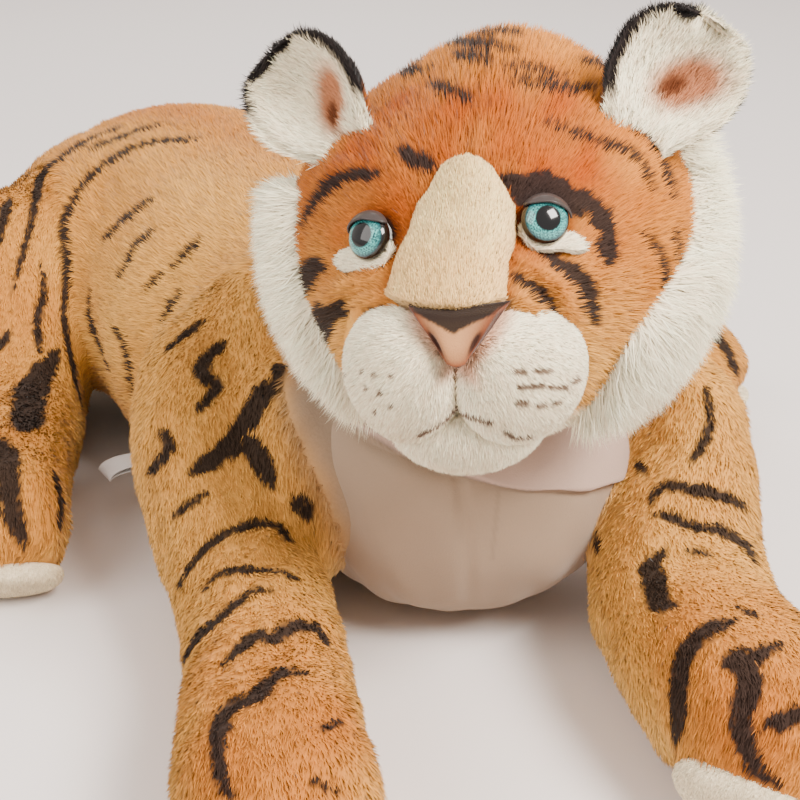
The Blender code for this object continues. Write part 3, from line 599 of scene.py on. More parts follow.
def floor_material():
    m = bpy.data.materials.new("studio_floor")
    m.use_nodes = True
    tree = m.node_tree
    shade = tree.nodes["Principled BSDF"]
    shade.inputs["Roughness"].default_value = 0.95
    shade.inputs["Specular IOR Level"].default_value = 0.05
    place = node(tree, "ShaderNodeTexCoord", (-700, 0))
    noise = node(tree, "ShaderNodeTexNoise", (-500, 0))
    noise.inputs["Scale"].default_value = 2.0
    tree.links.new(place.outputs["Object"], noise.inputs["Vector"])
    mix = node(tree, "ShaderNodeMix", (-280, 0), data_type="RGBA")
    mix.inputs["A"].default_value = (0.742, 0.695, 0.680, 1)
    mix.inputs["B"].default_value = (0.765, 0.718, 0.702, 1)
    tree.links.new(noise.outputs["Fac"], mix.inputs["Factor"])
    tree.links.new(mix.outputs["Result"], shade.inputs["Base Color"])
    return m


floor_mesh = bpy.data.meshes.new("studio_floor")
floor_mesh.from_pydata([(-60, -60, -0.0004), (60, -60, -0.0004), (60, 60, -0.0004), (-60, 60, -0.0004)], [], [(0, 1, 2, 3)])
floor_object = bpy.data.objects.new("studio_floor", floor_mesh)
floor_mesh.materials.append(floor_material())
bpy.context.scene.collection.objects.link(floor_object)

# ---- the skins' forms ----------------------------------------------------------------------------------------------

SOLE_AT = 0.955
INSET = -0.0035  # the cloth lies this far inside the place where the pile ends

torso = tube(TORSO, 0.0, 1.0, 150, 150, grow=INSET).outwards(np.array((0, 0.1, 0.1)))
torso.set_flow(0, -1.0)

LEGS = {
    "foreleg_right": (FORE_RIGHT, "foreleg_right", 1),
    "foreleg_left": (FORE_LEFT, "foreleg_left", 2),
    "hindleg_right": (HIND_RIGHT, "hindleg_right", 3),
    "hindleg_left": (HIND_LEFT, "hindleg_left", 4),
}
legs = {}
for leg_name, (stations, leg_body, number) in LEGS.items():
    g = rounded_end(stations, 0.0, SOLE_AT, 120, 96, 0.014, 12, INSET)
    g.outwards(np.array(stations[5][:3]))
    g.set_flow(0, 1.0)
    legs[leg_name] = g
forms = [torso, legs["foreleg_right"], legs["foreleg_left"], legs["hindleg_right"], legs["hindleg_left"]]


def blob(at, radii, heading):
    """Stuffing that fills the body out between the flank and a thigh."""
    th, ph = np.meshgrid(np.linspace(0, pi, 40), np.arange(48) / 48 * 2 * pi, indexing="ij")
    x, y, z = radii[0] * np.sin(th) * np.cos(ph), radii[1] * np.sin(th) * np.sin(ph), radii[2] * np.cos(th)
    h = radians(heading)
    pts = np.stack([at[0] + x * cos(h) - y * sin(h), at[1] + x * sin(h) + y * cos(h), at[2] + z], -1)
    return Grid(pts, np.zeros(pts.shape), True).outwards(np.array(at))


fillers = [
    blob((-0.128, 0.262, 0.118), (0.072, 0.115, 0.092), 0), blob((0.030, 0.280, 0.112), (0.072, 0.105, 0.085), 0),
    blob((-0.078, -0.045, 0.130), (0.052, 0.070, 0.080), 0), blob((-0.092, -0.120, 0.105), (0.038, 0.060, 0.072), 0),
    blob((0.092, -0.075, 0.130), (0.040, 0.060, 0.066), 0),
    blob((-0.034, 0.378, 0.048), (0.042, 0.036, 0.044), 0),
]


def voxel_union(grids, size):
    """One closed skin round all the forms."""
    verts, tris, count = [], [], 0
    for g in grids:
        used = np.unique(g.tris)
        back = np.full(len(g.verts), -1)
        back[used] = np.arange(len(used))
        verts.append(g.verts[used])
        tris.append(back[g.tris] + count)
        count += len(used)
    mesh = bpy.data.meshes.new("forms_together")
    mesh.from_pydata(np.concatenate(verts).tolist(), [], np.concatenate(tris).tolist())
    made = bpy.data.objects.new("forms_together", mesh)
    bpy.context.scene.collection.objects.link(made)
    step = made.modifiers.new("skin", "REMESH")
    step.mode, step.voxel_size, step.adaptivity = "VOXEL", size, 0.0
    found = made.evaluated_get(bpy.context.evaluated_depsgraph_get()).to_mesh()
    found.calc_loop_triangles()
    v = np.empty(len(found.vertices) * 3)
    found.vertices.foreach_get("co", v)
    t = np.empty(len(found.loop_triangles) * 3, dtype=np.int64)
    found.loop_triangles.foreach_get("vertices", t)
    bpy.data.objects.remove(made)
    bpy.data.meshes.remove(mesh)
    return v.reshape(-1, 3), t.reshape(-1, 3)


class Cloth:
    """A skin over any mesh of triangles."""

    def __init__(self, verts, tris):
        self.verts, self.tris = verts, tris
        pairs = np.sort(np.concatenate([tris[:, :2], tris[:, 1:], tris[:, [0, 2]]]), 1)
        self.edges = np.unique(pairs, axis=0)
        self.degree = np.bincount(self.edges.ravel(), minlength=len(verts)).astype(float)
        self._normals()

    _normals = Grid._normals

    def around(self, field):
        """The mean over each point's neighbours."""
        e, n = self.edges, len(self.verts)
        out = np.empty_like(field)
        for k in range(field.shape[1]):
            c = field[:, k]
            out[:, k] = np.bincount(e[:, 0], c[e[:, 1]], n) + np.bincount(e[:, 1], c[e[:, 0]], n)
        return out / self.degree[:, None]


body = Cloth(*voxel_union(forms + fillers, 0.0046))
if ((body.verts - np.array((-0.03, 0.1, 0.08))) * body.normals).sum() < 0:
    body.tris = body.tris[:, ::-1].copy()
    body._normals()


def nearest_in(grid, places):
    tree = kdtree.KDTree(len(grid.verts))
    for i, v in enumerate(grid.verts.tolist()):
        tree.insert(v, i)
    tree.balance()
    index, far = np.empty(len(places), dtype=np.int64), np.empty(len(places))
    for i, p in enumerate(places.tolist()):
        _, index[i], far[i] = tree.find(p)
    return index, far


found = [nearest_in(g, body.verts) for g in forms]
index_in = np.stack([f[0] for f in found], 1)
far_from = np.stack([f[1] for f in found], 1)
form_of = np.argmin(far_from, 1)
ordered = np.sort(far_from, 1)
joint_zone = smooth(ordered[:, 1], 0.046, 0.016)
joint_zone = np.maximum(joint_zone, smooth(ordered[:, 0], 0.002, 0.006))
for _ in range(70):
    step = body.around(body.verts) - body.verts
    body.verts = body.verts + step * (0.55 * joint_zone)[:, None]
for _ in range(4):
    body.verts = body.verts + (body.around(body.verts) - body.verts) * 0.5
    body.verts = body.verts - (body.around(body.verts) - body.verts) * 0.52
body._normals()

# slack in the cloth: folds behind the shoulder, at the elbows and where the thigh meets the flank
FOLDS = [  # width and depth in mm, then the line in the picture
    (7, 2.6, (75, 330), (84, 372), (100, 420), (134, 478)),
    (5, 1.6, (232, 600), (262, 566), (300, 556)), (5, 1.5, (205, 545), (235, 522), (290, 512)),
    (5, 1.6, (640, 500), (676, 520), (720, 512)), (4, 1.2, (300, 430), (312, 470), (318, 520)),
    (5, 1.4, (0, 345), (18, 380), (22, 425)), (6, 1.6, (160, 300), (150, 360), (146, 420)),
]
body.verts += body.normals * (0.0014 * wobble(body.verts, 0.060, 5) + 0.0008 * wobble(body.verts, 0.024, 6))[:, None]
body.verts[:, 2] = np.maximum(body.verts[:, 2], 0.0)

tail_root = tube(TAIL, 0.0, 0.455, 60, 40, grow=-0.0025).outwards(np.array((0.06, 0.424, 0.021))).set_flow(0, 1.0)
tail_end = tube(TAIL, 0.435, 1.0, 70, 40, grow=-0.0025).outwards(np.array((0.208, 0.378, 0.021))).set_flow(0, 1.0)


def head_grid(rows, cols):
    e = 90 - 180 * np.arange(rows) / (rows - 1)
    t = np.arange(cols) / cols * 360 - 180
    ee, tt = np.meshgrid(e, t, indexing="ij")
    return Grid(head_place(tt, ee, -0.0030), np.stack([tt, ee], -1), True).outwards(HEAD_C)


head = head_grid(150, 240)
NOSE_AT = head_place(2.5, -12.0, 0.0)
MUZZLE_C = HEAD_C + HEAD_F * 0.02 - HEAD_U * 0.01


def away_from_nose(points, droop=0.25):
    d = unit(points - NOSE_AT)
    return unit(d - np.array((0, 0, 1.0)) * droop)


head.flow = away_from_nose(head.verts, 0.05)

# ---- stripes: lines read in the picture, laid on the skins along the lines of sight -----------------------------------

BODY_LINES = [  # width in picture points, then the line
    (6, (123, 128), (90, 142), (47, 170), (38, 189), (31, 224), (12, 293)),
    (5, (163, 125), (125, 138), (90, 151)),
    (7, (200, 140), (142, 147), (94, 175), (67, 217), (65, 236), (68, 269), (64, 316), (71, 361), (80, 408)),
    (8, (9, 198), (2, 222), (-3, 250)),
    (6, (41, 265), (44, 293), (37, 321), (40, 354)),
    (6, (153, 200), (130, 218), (104, 241)),
    (6, (158, 227), (136, 250), (120, 279)),
    (7, (201, 239), (190, 252), (172, 267)),
    (5, (165, 273), (146, 290)),
    (6, (182, 290), (163, 321)),
    (6, (92, 290), (94, 321), (113, 371)),
    (6, (116, 328), (127, 345), (134, 397)),
    (7, (208, 319), (188, 333), (165, 352)),
    (19, (57, 352), (42, 372), (31, 390), (28, 418), (19, 430)),
    (14, (227, 341), (204, 362), (203, 375), (216, 387), (208, 400), (197, 412)),
    (25, (277, 368), (282, 382), (263, 394), (246, 426), (228, 450), (191, 473)),
    (22, (245, 437), (262, 462), (272, 487)),
    (12, (161, 430), (170, 446), (160, 462), (150, 473)),
    (8, (209, 492), (190, 505), (172, 517)),
    (20, (293, 496), (303, 508), (309, 519)),
    (11, (291, 542), (274, 525), (249, 525), (220, 537), (197, 559), (181, 584)),
    (8, (297, 580), (274, 571), (249, 569), (220, 575), (206, 589)),
    (10, (274, 592), (250, 594), (227, 612), (197, 640), (186, 660)),
    (14, (327, 646), (313, 628), (290, 628), (275, 639), (256, 637), (224, 665)),
    (16, (306, 674), (281, 674), (259, 694), (231, 708), (220, 731), (220, 774), (234, 799)),
    (6, (320, 733), (340, 722)),
    (7, (311, 780), (340, 794)),
    (9, (706, 386), (710, 418), (704, 441), (689, 467)),
    (14, (650, 502), (664, 487), (690, 490), (719, 496), (745, 507)),
    (13, (652, 513), (667, 515), (690, 525), (722, 532), (744, 545), (754, 562)),
    (8, (597, 533), (601, 551)),
    (7, (638, 462), (645, 475)),
    (19, (664, 552), (650, 566), (655, 584), (660, 604), (676, 607)),
    (6, (686, 550), (713, 556)),
    (20, (733, 620), (704, 634), (686, 656), (679, 681), (679, 713), (677, 740)),
    (7, (736, 607), (756, 618)),
    (23, (779, 645), (751, 656), (735, 661), (748, 676), (748, 695), (741, 716), (747, 748), (760, 772), (779, 786)),
    (20, (806, 708), (785, 720), (766, 727)),
    (22, (2, 440), (8, 470), (10, 505), (24, 545)),
    (7, (52, 470), (60, 500), (58, 530)),
    (10, (12, 330), (-6, 352)),
]
HEAD_LINES = [
    (9, (430, 90), (452, 95), (474, 106)),
    (17, (402, 152), (415, 161), (436, 170)),
    (13, (306, 226), (318, 203), (334, 186), (356, 177), (380, 176)),
    (15, (304, 290), (313, 273), (328, 266)),
    (17, (326, 338), (330, 316), (352, 302)),
    (12, (360, 313), (374, 306), (388, 300)),
    (38, (506, 178), (522, 190), (548, 191), (574, 194)), (24, (512, 196), (530, 200), (560, 202), (584, 214)),
    (28, (574, 192), (594, 214), (604, 236), (610, 262)), (12, (596, 236), (603, 252), (609, 266)),
    (25, (536, 260), (562, 270), (584, 290), (592, 320)),
    (18, (512, 276), (528, 288), (545, 303), (556, 318)),
    (9, (543, 124), (566, 132), (590, 141), (625, 152), (642, 168), (652, 192)),
    (9, (614, 118), (640, 135), (660, 160), (672, 200)),
    (9, (456, 62), (474, 63), (492, 67)),
    (9, (508, 84), (536, 88), (566, 92), (592, 92)),
    (9, (574, 66), (598, 70), (620, 80)),
    (9, (478, 40), (500, 38), (520, 42)),
    (7, (438, 70), (430, 78)), (9, (424, 46), (450, 48), (484, 50), (520, 58)), (9, (500, 70), (530, 74), (562, 80)), (8, (396, 70), (410, 76), (424, 78)),
    (8, (640, 230), (660, 260), (662, 300)),
    (7, (672, 228), (676, 262)),
]
MORE_HEAD = [  # turn and lift lines on the sides and back of the head that the picture doesn't show
    (0.0028, (118, 40), (122, 20), (116, 0)), (0.0030, (-118, 40), (-122, 20), (-116, 0)),
    (0.0030, (140, 46), (146, 22), (140, -6)), (0.0030, (-140, 46), (-146, 22), (-140, -6)),
    (0.0026, (150, 66), (180, 60), (210, 66)), (0.0032, (150, 48), (180, 42), (210, 48)),
    (0.0032, (155, 28), (180, 22), (205, 28)), (0.0030, (158, 8), (180, 2), (202, 8)),
    (0.0028, (100, 66), (128, 62)), (0.0028, (-100, 66), (-128, 62)), (0.0026, (165, -12), (195, -12)),
]


def fine_line(points, step):
    """Points every step along a smooth curve through the given ones, with the share of its length at each."""
    points = np.array(points, float)
    if len(points) == 2:
        points = np.array([points[0], points.mean(0), points[1]])
    ext = np.concatenate([[2 * points[0] - points[1]], points, [2 * points[-1] - points[-2]]])
    out = []
    for i in range(len(points) - 1):
        a, b, c, d = ext[i : i + 4]
        n = max(2, int(np.linalg.norm(c - b) / step))
        t = (np.arange(n) / n)[:, None]
        out.append(0.5 * (2 * b + (c - a) * t + (2 * a - 5 * b + 4 * c - d) * t * t + (3 * b - a - 3 * c + d) * t * t * t))
    out = np.concatenate(out + [points[-1:]])
    gone = np.concatenate([[0], np.cumsum(np.linalg.norm(np.diff(out, axis=0), axis=1))])
    return out, gone / gone[-1]


def taper(share):
    """A stripe's width along it, thin at its ends."""
    return 0.30 + 0.70 * np.sqrt(np.clip(np.sin(pi * np.clip(share, 0.0, 1.0)), 0, 1))


def tree_of(grids):
    """One search tree over several skins."""
    verts, tris, starts = [], [], []
    count = 0
    for g in grids:
        starts.append(count)
        verts.append(g.verts)
        tris.append(g.tris + count)
        count += len(g.verts)
    verts, tris = np.concatenate(verts), np.concatenate(tris)
    return BVHTree.FromPolygons([Vector(v) for v in verts], tris.tolist()), tris, starts


body_tree = BVHTree.FromPolygons([Vector(v) for v in body.verts], body.tris.tolist())
head_tree = BVHTree.FromPolygons([Vector(v) for v in head.verts], head.tris.tolist())


class Marks:
    """Stripe points, each with its half width."""

    def __init__(self):
        self.points, self.halves = [], []

    def add(self, p, half):
        self.points.append(tuple(p))
        self.halves.append(half)

    def ready(self):
        self.tree = kdtree.KDTree(max(1, len(self.points)))
        for i, p in enumerate(self.points):
            self.tree.insert(p, i)
        self.tree.balance()
        return self

    def gap(self, p):
        """How far inside a stripe each place is, in metres; below 0 outside."""
        find, halves = self.tree.find, self.halves
        out = np.empty(len(p))
        for i, place in enumerate(p.tolist()):
            _, k, d = find(place)
            out[i] = halves[k] - d
        return out

    def weight(self, p, rough=0.0011, soft=0.0010, seed=31):
        """From 0 to 1, how much of a stripe each place is in."""
        if not self.points:
            return np.zeros(len(p))
        return smooth(self.gap(p) + rough * wobble(p, 0.006, seed) + 0.5 * rough * wobble(p, 0.0025, seed + 1), -soft, soft)


def line_of_sight(tree, px, py, other=None):
    """Where a line of sight meets a skin, unless another is before it."""
    hit, normal, _, far = tree.ray_cast(EYE, sight(px, py))
    if hit is None:
        return None
    far = far / max(0.34, abs(normal.dot(sight(px, py)))) ** 0.7
    if other is not None:
        before = other.ray_cast(EYE, sight(px, py))
        if before[0] is not None and before[3] < (hit - EYE).length:
            return None
    return np.array(hit), far


body_marks, head_marks, seen = Marks(), Marks(), []
for width, *line in BODY_LINES:
    seen.append([])
    pts, share = fine_line(line, 1.5)
    for (px, py), sh in zip(pts, share):
        found = line_of_sight(body_tree, px, py, head_tree)
        if found is not None:
            half = 0.5 * (width + (1.6 if width < 9 else 1.0)) * taper(sh) * found[1] / 1440
            body_marks.add(found[0], half)
            seen[-1].append((found[0], half))
for width, *line in HEAD_LINES:
    pts, share = fine_line(line, 1.2)
    for (px, py), sh in zip(pts, share):
        found = line_of_sight(head_tree, px, py)
        if found is not None:
            head_marks.add(found[0], 0.5 * width * taper(sh) * found[1] / 1440)
for half, *line in MORE_HEAD:
    pts, share = fine_line(line, 1.0)
    for (t, e), sh in zip(pts, share):
        head_marks.add(head_place(t, e, -0.003), half * taper(sh))
head_marks.ready()

# soft rolls of cloth on the cheeks, with the dark stripes between them
lift = np.zeros(len(head.verts))
for wide, high, *line in (
    (5.2, 6.2, (506, 256), (530, 266), (556, 286), (576, 322)), (4.6, 5.2, (508, 290), (528, 306), (540, 326)),
    (5.0, 6.0, (394, 268), (366, 280), (340, 294), (322, 318)), (4.4, 5.0, (396, 292), (374, 302), (352, 318)),
    (5.0, 2.6, (318, 190), (344, 172), (380, 168)),
):
    m = Marks()
    pts, share = fine_line(line, 1.5)
    for (px, py), sh in zip(pts, share):
        found = line_of_sight(head_tree, px, py)
        if found is not None:
            m.add(found[0], float(sin(pi * min(1.0, max(0.0, sh)))) ** 0.5)
    m.ready()
    for i, place in enumerate(head.verts.tolist()):
        _, k, d = m.tree.find(place)
        lift[i] = max(lift[i], m.halves[k] * exp(-((d * 1000 / wide) ** 2)) * high / 1000)
head.push(lift)

# the seam between chest and neck, where the body's own cloth shows beside the bib
chest_marks = Marks()
for px, py in fine_line(((296, 376), (330, 405), (350, 425), (400, 452), (460, 475), (520, 489)), 1.0)[0]:
    found = body_tree.ray_cast(EYE, sight(px, py))
    if found[0] is not None:
        chest_marks.add(found[0], 0.0012)
chest_marks.ready()


def above(marks, p):
    """How much higher each place is than the nearest point of a line."""
    points, find = marks.points, marks.tree.find
    return np.array([place[2] - points[find(place)[1]][2] for place in p.tolist()])


fold_marks = []
for wide, deep, *line in FOLDS:
    m = Marks()
    pts, share = fine_line(line, 2.0)
    for (px, py), sh in zip(pts, share):
        found = line_of_sight(body_tree, px, py, head_tree)
        if found is not None:
            m.add(found[0], float(sin(pi * min(1.0, max(0.0, sh)))) ** 0.5)
    if m.points:
        m.ready()
        drop = np.zeros(len(body.verts))
        for i, place in enumerate(body.verts.tolist()):
            _, k, d = m.tree.find(place)
            drop[i] = m.halves[k] * exp(-((d * 1000 / wide) ** 2)) * deep / 1000
        fold_marks.append(drop)


def on_body(place):
    at, normal, face, _ = body_tree.find_nearest(Vector(place))
    return np.array(at), np.array(normal)


# the same stripes mirrored on the side that the picture doesn't show
near_vertex = kdtree.KDTree(len(body.verts))
for i, v in enumerate(body.verts.tolist()):
    near_vertex.insert(v, i)
near_vertex.balance()
PAIR = {0: 0, 1: 2, 2: 1, 3: 4, 4: 3}
for line in seen:
    places = []
    for hit, half in line:
        _, k, _ = near_vertex.find(hit)
        f = form_of[k]
        rows_f, cols_f = forms[f].points.shape[:2]
        row, col = divmod(int(index_in[k, f]), cols_f)
        places.append(forms[PAIR[f]].points[row, (cols_f - col) % cols_f])
    if len(places) < 3:
        continue
    places = np.array(places)
    n = min(13, 2 * (len(places) // 4) + 1)
    held = np.concatenate([np.repeat(places[:1], n // 2, 0), places, np.repeat(places[-1:], n // 2, 0)])
    even = np.stack([np.convolve(held[:, i], np.ones(n) / n, "valid") for i in range(3)], -1)
    for at, there, (hit, half) in zip(even, places, line):
        place, normal = on_body(at)
        if np.linalg.norm(at - there) < 0.02 and (f == 3 or normal @ (np.array(EYE) - place) < 0.0):
            body_marks.add(place, max(half, 0.0016))


def ring_line(stations, s, a0, a1, half, to_marks, slant=0.0, steps=60, grow=INSET, hidden_only=True):
    """A stripe round a form from angle a0 to a1 in degrees."""
    k = np.arange(steps) / (steps - 1)
    a = np.radians(a0 + (a1 - a0) * k)
    places = section(stations, s + slant * (k - 0.5) + 0.006 * np.sin(5 * k + 9 * s), a, grow)
    for p, sh in zip(places, k):
        if to_marks is body_marks:
            p, normal = on_body(p)
            if hidden_only and normal @ (np.array(EYE) - p) > 0.0 and in_frame(p):
                continue
        to_marks.add(p, half * taper(sh))


def in_frame(p):
    d = np.array(p) - np.array(EYE)
    ahead = d @ np.array(AHEAD)
    x, y = 400 + 1440 * (d @ np.array(ACROSS)) / ahead, 400 - 1440 * (d @ np.array(UPWARD)) / ahead
    return -10 < x < 810 and -10 < y < 810


for s, a0, a1, half, slant in (
    (0.34, -160, -78, 0.0042, 0.03), (0.42, -70, 10, 0.0036, 0.03), (0.50, -165, -60, 0.0044, -0.02),
    (0.58, -60, 80, 0.0040, 0.02), (0.66, -150, -20, 0.0042, 0.02), (0.75, -80, 70, 0.0038, -0.02),
    (0.36, 30, 120, 0.0036, 0.02), (0.52, 60, 150, 0.0040, 0.02), (0.70, 70, 150, 0.0036, 0.0),
):
    ring_line(HIND_RIGHT, s, a0, a1, half, body_marks, slant)
    ring_line(HIND_LEFT, s, -a0, -a1, half, body_marks, slant)
for s, a0, a1, half in ((0.20, 100, 175, 0.0034), (0.33, 80, 165, 0.0040), (0.46, 90, 170, 0.0040), (0.62, 85, 160, 0.0040), (0.78, 80, 150, 0.0036)):
    ring_line(FORE_LEFT, s, a0, a1, half, body_marks, 0.02)
    ring_line(FORE_RIGHT, s, a0, a1, half, body_marks, 0.02)
# the rump and the far side of the back
for s, a0, a1, half in ((0.06, -60, 50, 0.0032), (0.13, 20, 95, 0.0032), (0.10, -100, -20, 0.0034), (0.19, -95, -30, 0.0032), (0.66, 15, 80, 0.0034), (0.71, -20, 60, 0.0032),
                        (0.25, 22, 96, 0.0034), (0.31, 8, 40, 0.0028), (0.35, 58, 104, 0.0030), (0.43, 62, 102, 0.0028), (0.49, 14, 52, 0.0030),
                        (0.56, 40, 96, 0.0032), (0.79, 10, 70, 0.0032), (0.86, -40, 46, 0.0032)):
    ring_line(TORSO, s, a0, a1, half, body_marks, 0.02)
body_marks.ready()
for drop in fold_marks:
    body.verts = body.verts - body.normals * drop[:, None]
body.verts[:, 2] = np.maximum(body.verts[:, 2], 0.0)
body._normals()
tail_marks = Marks()
for s in (0.10, 0.19, 0.28, 0.37, 0.48, 0.57, 0.66, 0.74):
    ring_line(TAIL, s, -150, 150, 0.0052, tail_marks, 0.012, 80, -0.0025)
tail_marks.ready()

# ---- colours of the skins ---------------------------------------------------------------------------------------------


def mix(a, b, k):
    k = np.asarray(k)[..., None]
    return a * (1 - k) + b * k


def in_bib(q):
    """1 on the chest's bib, by place along and round the torso."""
    s, around = q[:, 0], np.degrees(np.arctan2(np.abs(q[:, 1]), q[:, 2]))
    return smooth(s, 0.700, 0.712) * smooth(around, 84, 92)


def torso_base(p, q):
    s, sa, ca = q[:, 0], q[:, 1], q[:, 2]
    around = np.degrees(np.arctan2(np.abs(sa), ca))
    base = mix(ORANGE, TAN, np.clip(0.86 + 0.24 * wobble(p, 0.09, 3), 0, 1) * smooth(around, -20, 32))
    base = mix(base, ORANGE_DEEP, 0.24 * smooth(s, 0.54, 0.70) + 0.06 * (1 + wobble(p, 0.05, 4)))
    behind = smooth(s, 0.66, 0.60)
    base = mix(base, PALE, 0.26 * smooth(s, 0.30, 0.46) * smooth(s, 0.72, 0.60))
    base = mix(base, PALE, 0.55 * smooth(around, 86, 112) * behind)
    under = smooth(around + 4 * wobble(p, 0.03, 5), 113, 119) * behind * smooth(s, 0.10, 0.13)
    chest = in_bib(q)
    base = mix(base, BIB, chest)
    return mix(base, WHITE, under), (1 - under) * (1 - chest)


def leg_base(number, p, q):
    s, sa, ca = q[:, 0], q[:, 1], q[:, 2]
    around = np.degrees(np.arctan2(np.abs(sa), ca))
    deep = smooth(around + 14 * wobble(p, 0.03, 7), 88, 18)
    base = mix(TAN, ORANGE_DEEP, np.clip(deep * (0.18 + 0.42 * smooth(s, 0.55, 0.85) if number < 3 else 0.26) + 0.16 * wobble(p, 0.05, 8) + 0.12 * wobble(p, 0.02, 9), 0, 1))
    base = mix(base, ORANGE, 0.10)
    if number < 3:
        base = mix(base, PALE, 0.22 * smooth(s, 0.70, 0.45))
    # pale insides and undersides
    inner = smooth(sa * (1.0 if number in (1, 3) else -1.0), 0.55, 0.98) * smooth(around, 70, 110)
    base = mix(base, PALE, np.clip(0.66 * smooth(around, 78, 130) + 0.55 * inner, 0, 0.85))
    return base, np.ones(len(p))


body_values = np.zeros((len(body.verts), 7))
body_flow = np.zeros((len(body.verts), 3))
for k, g in enumerate(forms):
    on = form_of == k
    q = g.values[index_in[on, k]]
    base, allowed = torso_base(body.verts[on], q) if k == 0 else leg_base(k, body.verts[on], q)
    body_values[on, :3], body_values[on, 3:6], body_values[on, 6] = q[:, :3], base, allowed
    body_flow[on] = g.flow[index_in[on, k]]
tone = body_values[:, 3:7].copy()
for _ in range(14):
    tone = 0.5 * tone + 0.5 * body.around(tone)
    body_flow = unit(0.4 * body_flow + 0.6 * body.around(body_flow))
body_values[:, 3:7] = tone
body.values, body.flow = body_values, body_flow


def paint_body(p, q):
    colour = mix(q[:, 3:6], BLACK, body_marks.weight(p) * 0.97 * smooth(q[:, 6], 0.4, 0.8))
    chest = smooth(q[:, 6], 0.5, 0.2) * (p[:, 1] < -0.02)
    near = chest > 0.05
    if near.any():
        k = chest[near]
        colour[near] = mix(colour[near], lin(174, 149, 135), 0.8 * k * smooth(above(chest_marks, p[near]), -0.0010, 0.0010))
        colour[near] = mix(colour[near], BIB * 0.45, 0.8 * k * chest_marks.weight(p[near], 0.0001, 0.0008))
    return colour, None


def paint_tail(p, q):
    base = mix(ORANGE, TAN, np.clip(0.5 + 0.4 * wobble(p, 0.05, 6), 0, 1))
    w = tail_marks.weight(p)
    colour = mix(base, BLACK, w * 0.97)
    return mix(colour, BLACK, smooth(q[:, 0], 0.800, 0.812)), None


def paint_head(p, q):
    t, e = head_turn(p)
    at = np.abs(t)
    base = mix(TAN, ORANGE_DEEP, np.clip(smooth(e, -34, 22) * 0.84 + 0.14 * wobble(p, 0.045, 12) + 0.08 * wobble(p, 0.018, 13), 0, 1))
    base = mix(base, lin(210, 134, 46), 0.66 * smooth(e, 52, 74))
    base = mix(base, lin(208, 132, 46), 0.62 * smooth(t, 44, 66) + 0.30 * smooth(-t, 50, 70))
    base = mix(base, PALE, 0.12 * smooth(e, -4, -24))
    # darker round the eyes and along the bridge
    for side in (-1, 1):
        near = arc(t, e, EYE_AT[side][0], EYE_AT[side][1])
        base = mix(base, ORANGE_DEEP * 0.55, 0.75 * smooth(near, 11.5, 7.5))
    base = mix(base, ORANGE_DEEP * 0.72, 0.40 * smooth(np.abs(np.abs(t - front_mid(e)) - front_edge(e) - 0.5), 2.4, 0.2) * smooth(e, 36, 30) * (e > -5))
    base = mix(base, lin(58, 44, 38), 0.9 * smooth(np.abs(t - 1.5), 16, 12) * smooth(e, -3.5, -6.0) * smooth(e, -18, -12))
    colour = mix(base, BLACK, head_marks.weight(p) * 0.97)
    for side in (-1, 1):
        near = arc(t, e, EYE_AT[side][0], EYE_AT[side][1])
        colour = mix(colour, BLACK, 0.9 * smooth(near, 7.2, 6.2))
    colour = mix(colour, WHITE, np.maximum(smooth(e, -40, -46), smooth(arc(t, e, 2.3, -34.0), 17, 14)))
    return colour, None


def plain(tone, vary=0.04, size=0.02):
    def paint(p, q):
        k = 1 + vary * wobble(p, size, 21)
        return np.clip(tone[None, :] * k[:, None], 0, 1), None

    return paint


# ---- body: torso, legs, tail ---------------------------------------------------------------------------------------------

def part_of(cloth, keep):
    """The part of a skin whose triangles are wanted, as a skin of its own."""
    tris = cloth.tris[keep]
    used = np.unique(tris)
    back = np.full(len(cloth.verts), -1)
    back[used] = np.arange(len(used))
    out = Cloth(cloth.verts[used], back[tris])
    out.normals, out.flow, out.values = cloth.normals[used], cloth.flow[used], cloth.values[used]
    return out, used


tri_form = form_of[body.tris]
tri_of = np.where(tri_form[:, 0] == tri_form[:, 1], tri_form[:, 0], np.where(tri_form[:, 1] == tri_form[:, 2], tri_form[:, 1], tri_form[:, 0]))
torso_part, _ = part_of(body, tri_of == 0)
skin_piece("torso_skin", torso_part, paint_body, "torso",
           ("torso_side_right", "torso_side_left", "torso_filling", "belly_panel"), shell=0.0018)


def torso_density(p, q):
    around = np.degrees(np.arctan2(np.abs(q[:, 1]), q[:, 2]))
    return np.where(in_bib(q) > 0.5, 0.0, np.where(around > 128, np.where(p[:, 2] > 0.010, 16.0, 0.0), 36.0))


pile("torso_pile_right", torso_part, paint_body, "torso", torso_density, 0.0078, 0.00060, 0.36, messy=0.17,
     where=lambda p, n, q: q[:, 1] <= 0, seed=100)
pile("torso_pile_left", torso_part, paint_body, "torso",
     lambda p, q: torso_density(p, q) * 0.8, 0.0082, 0.00074, 0.36, messy=0.17, where=lambda p, n, q: q[:, 1] > 0, seed=110)

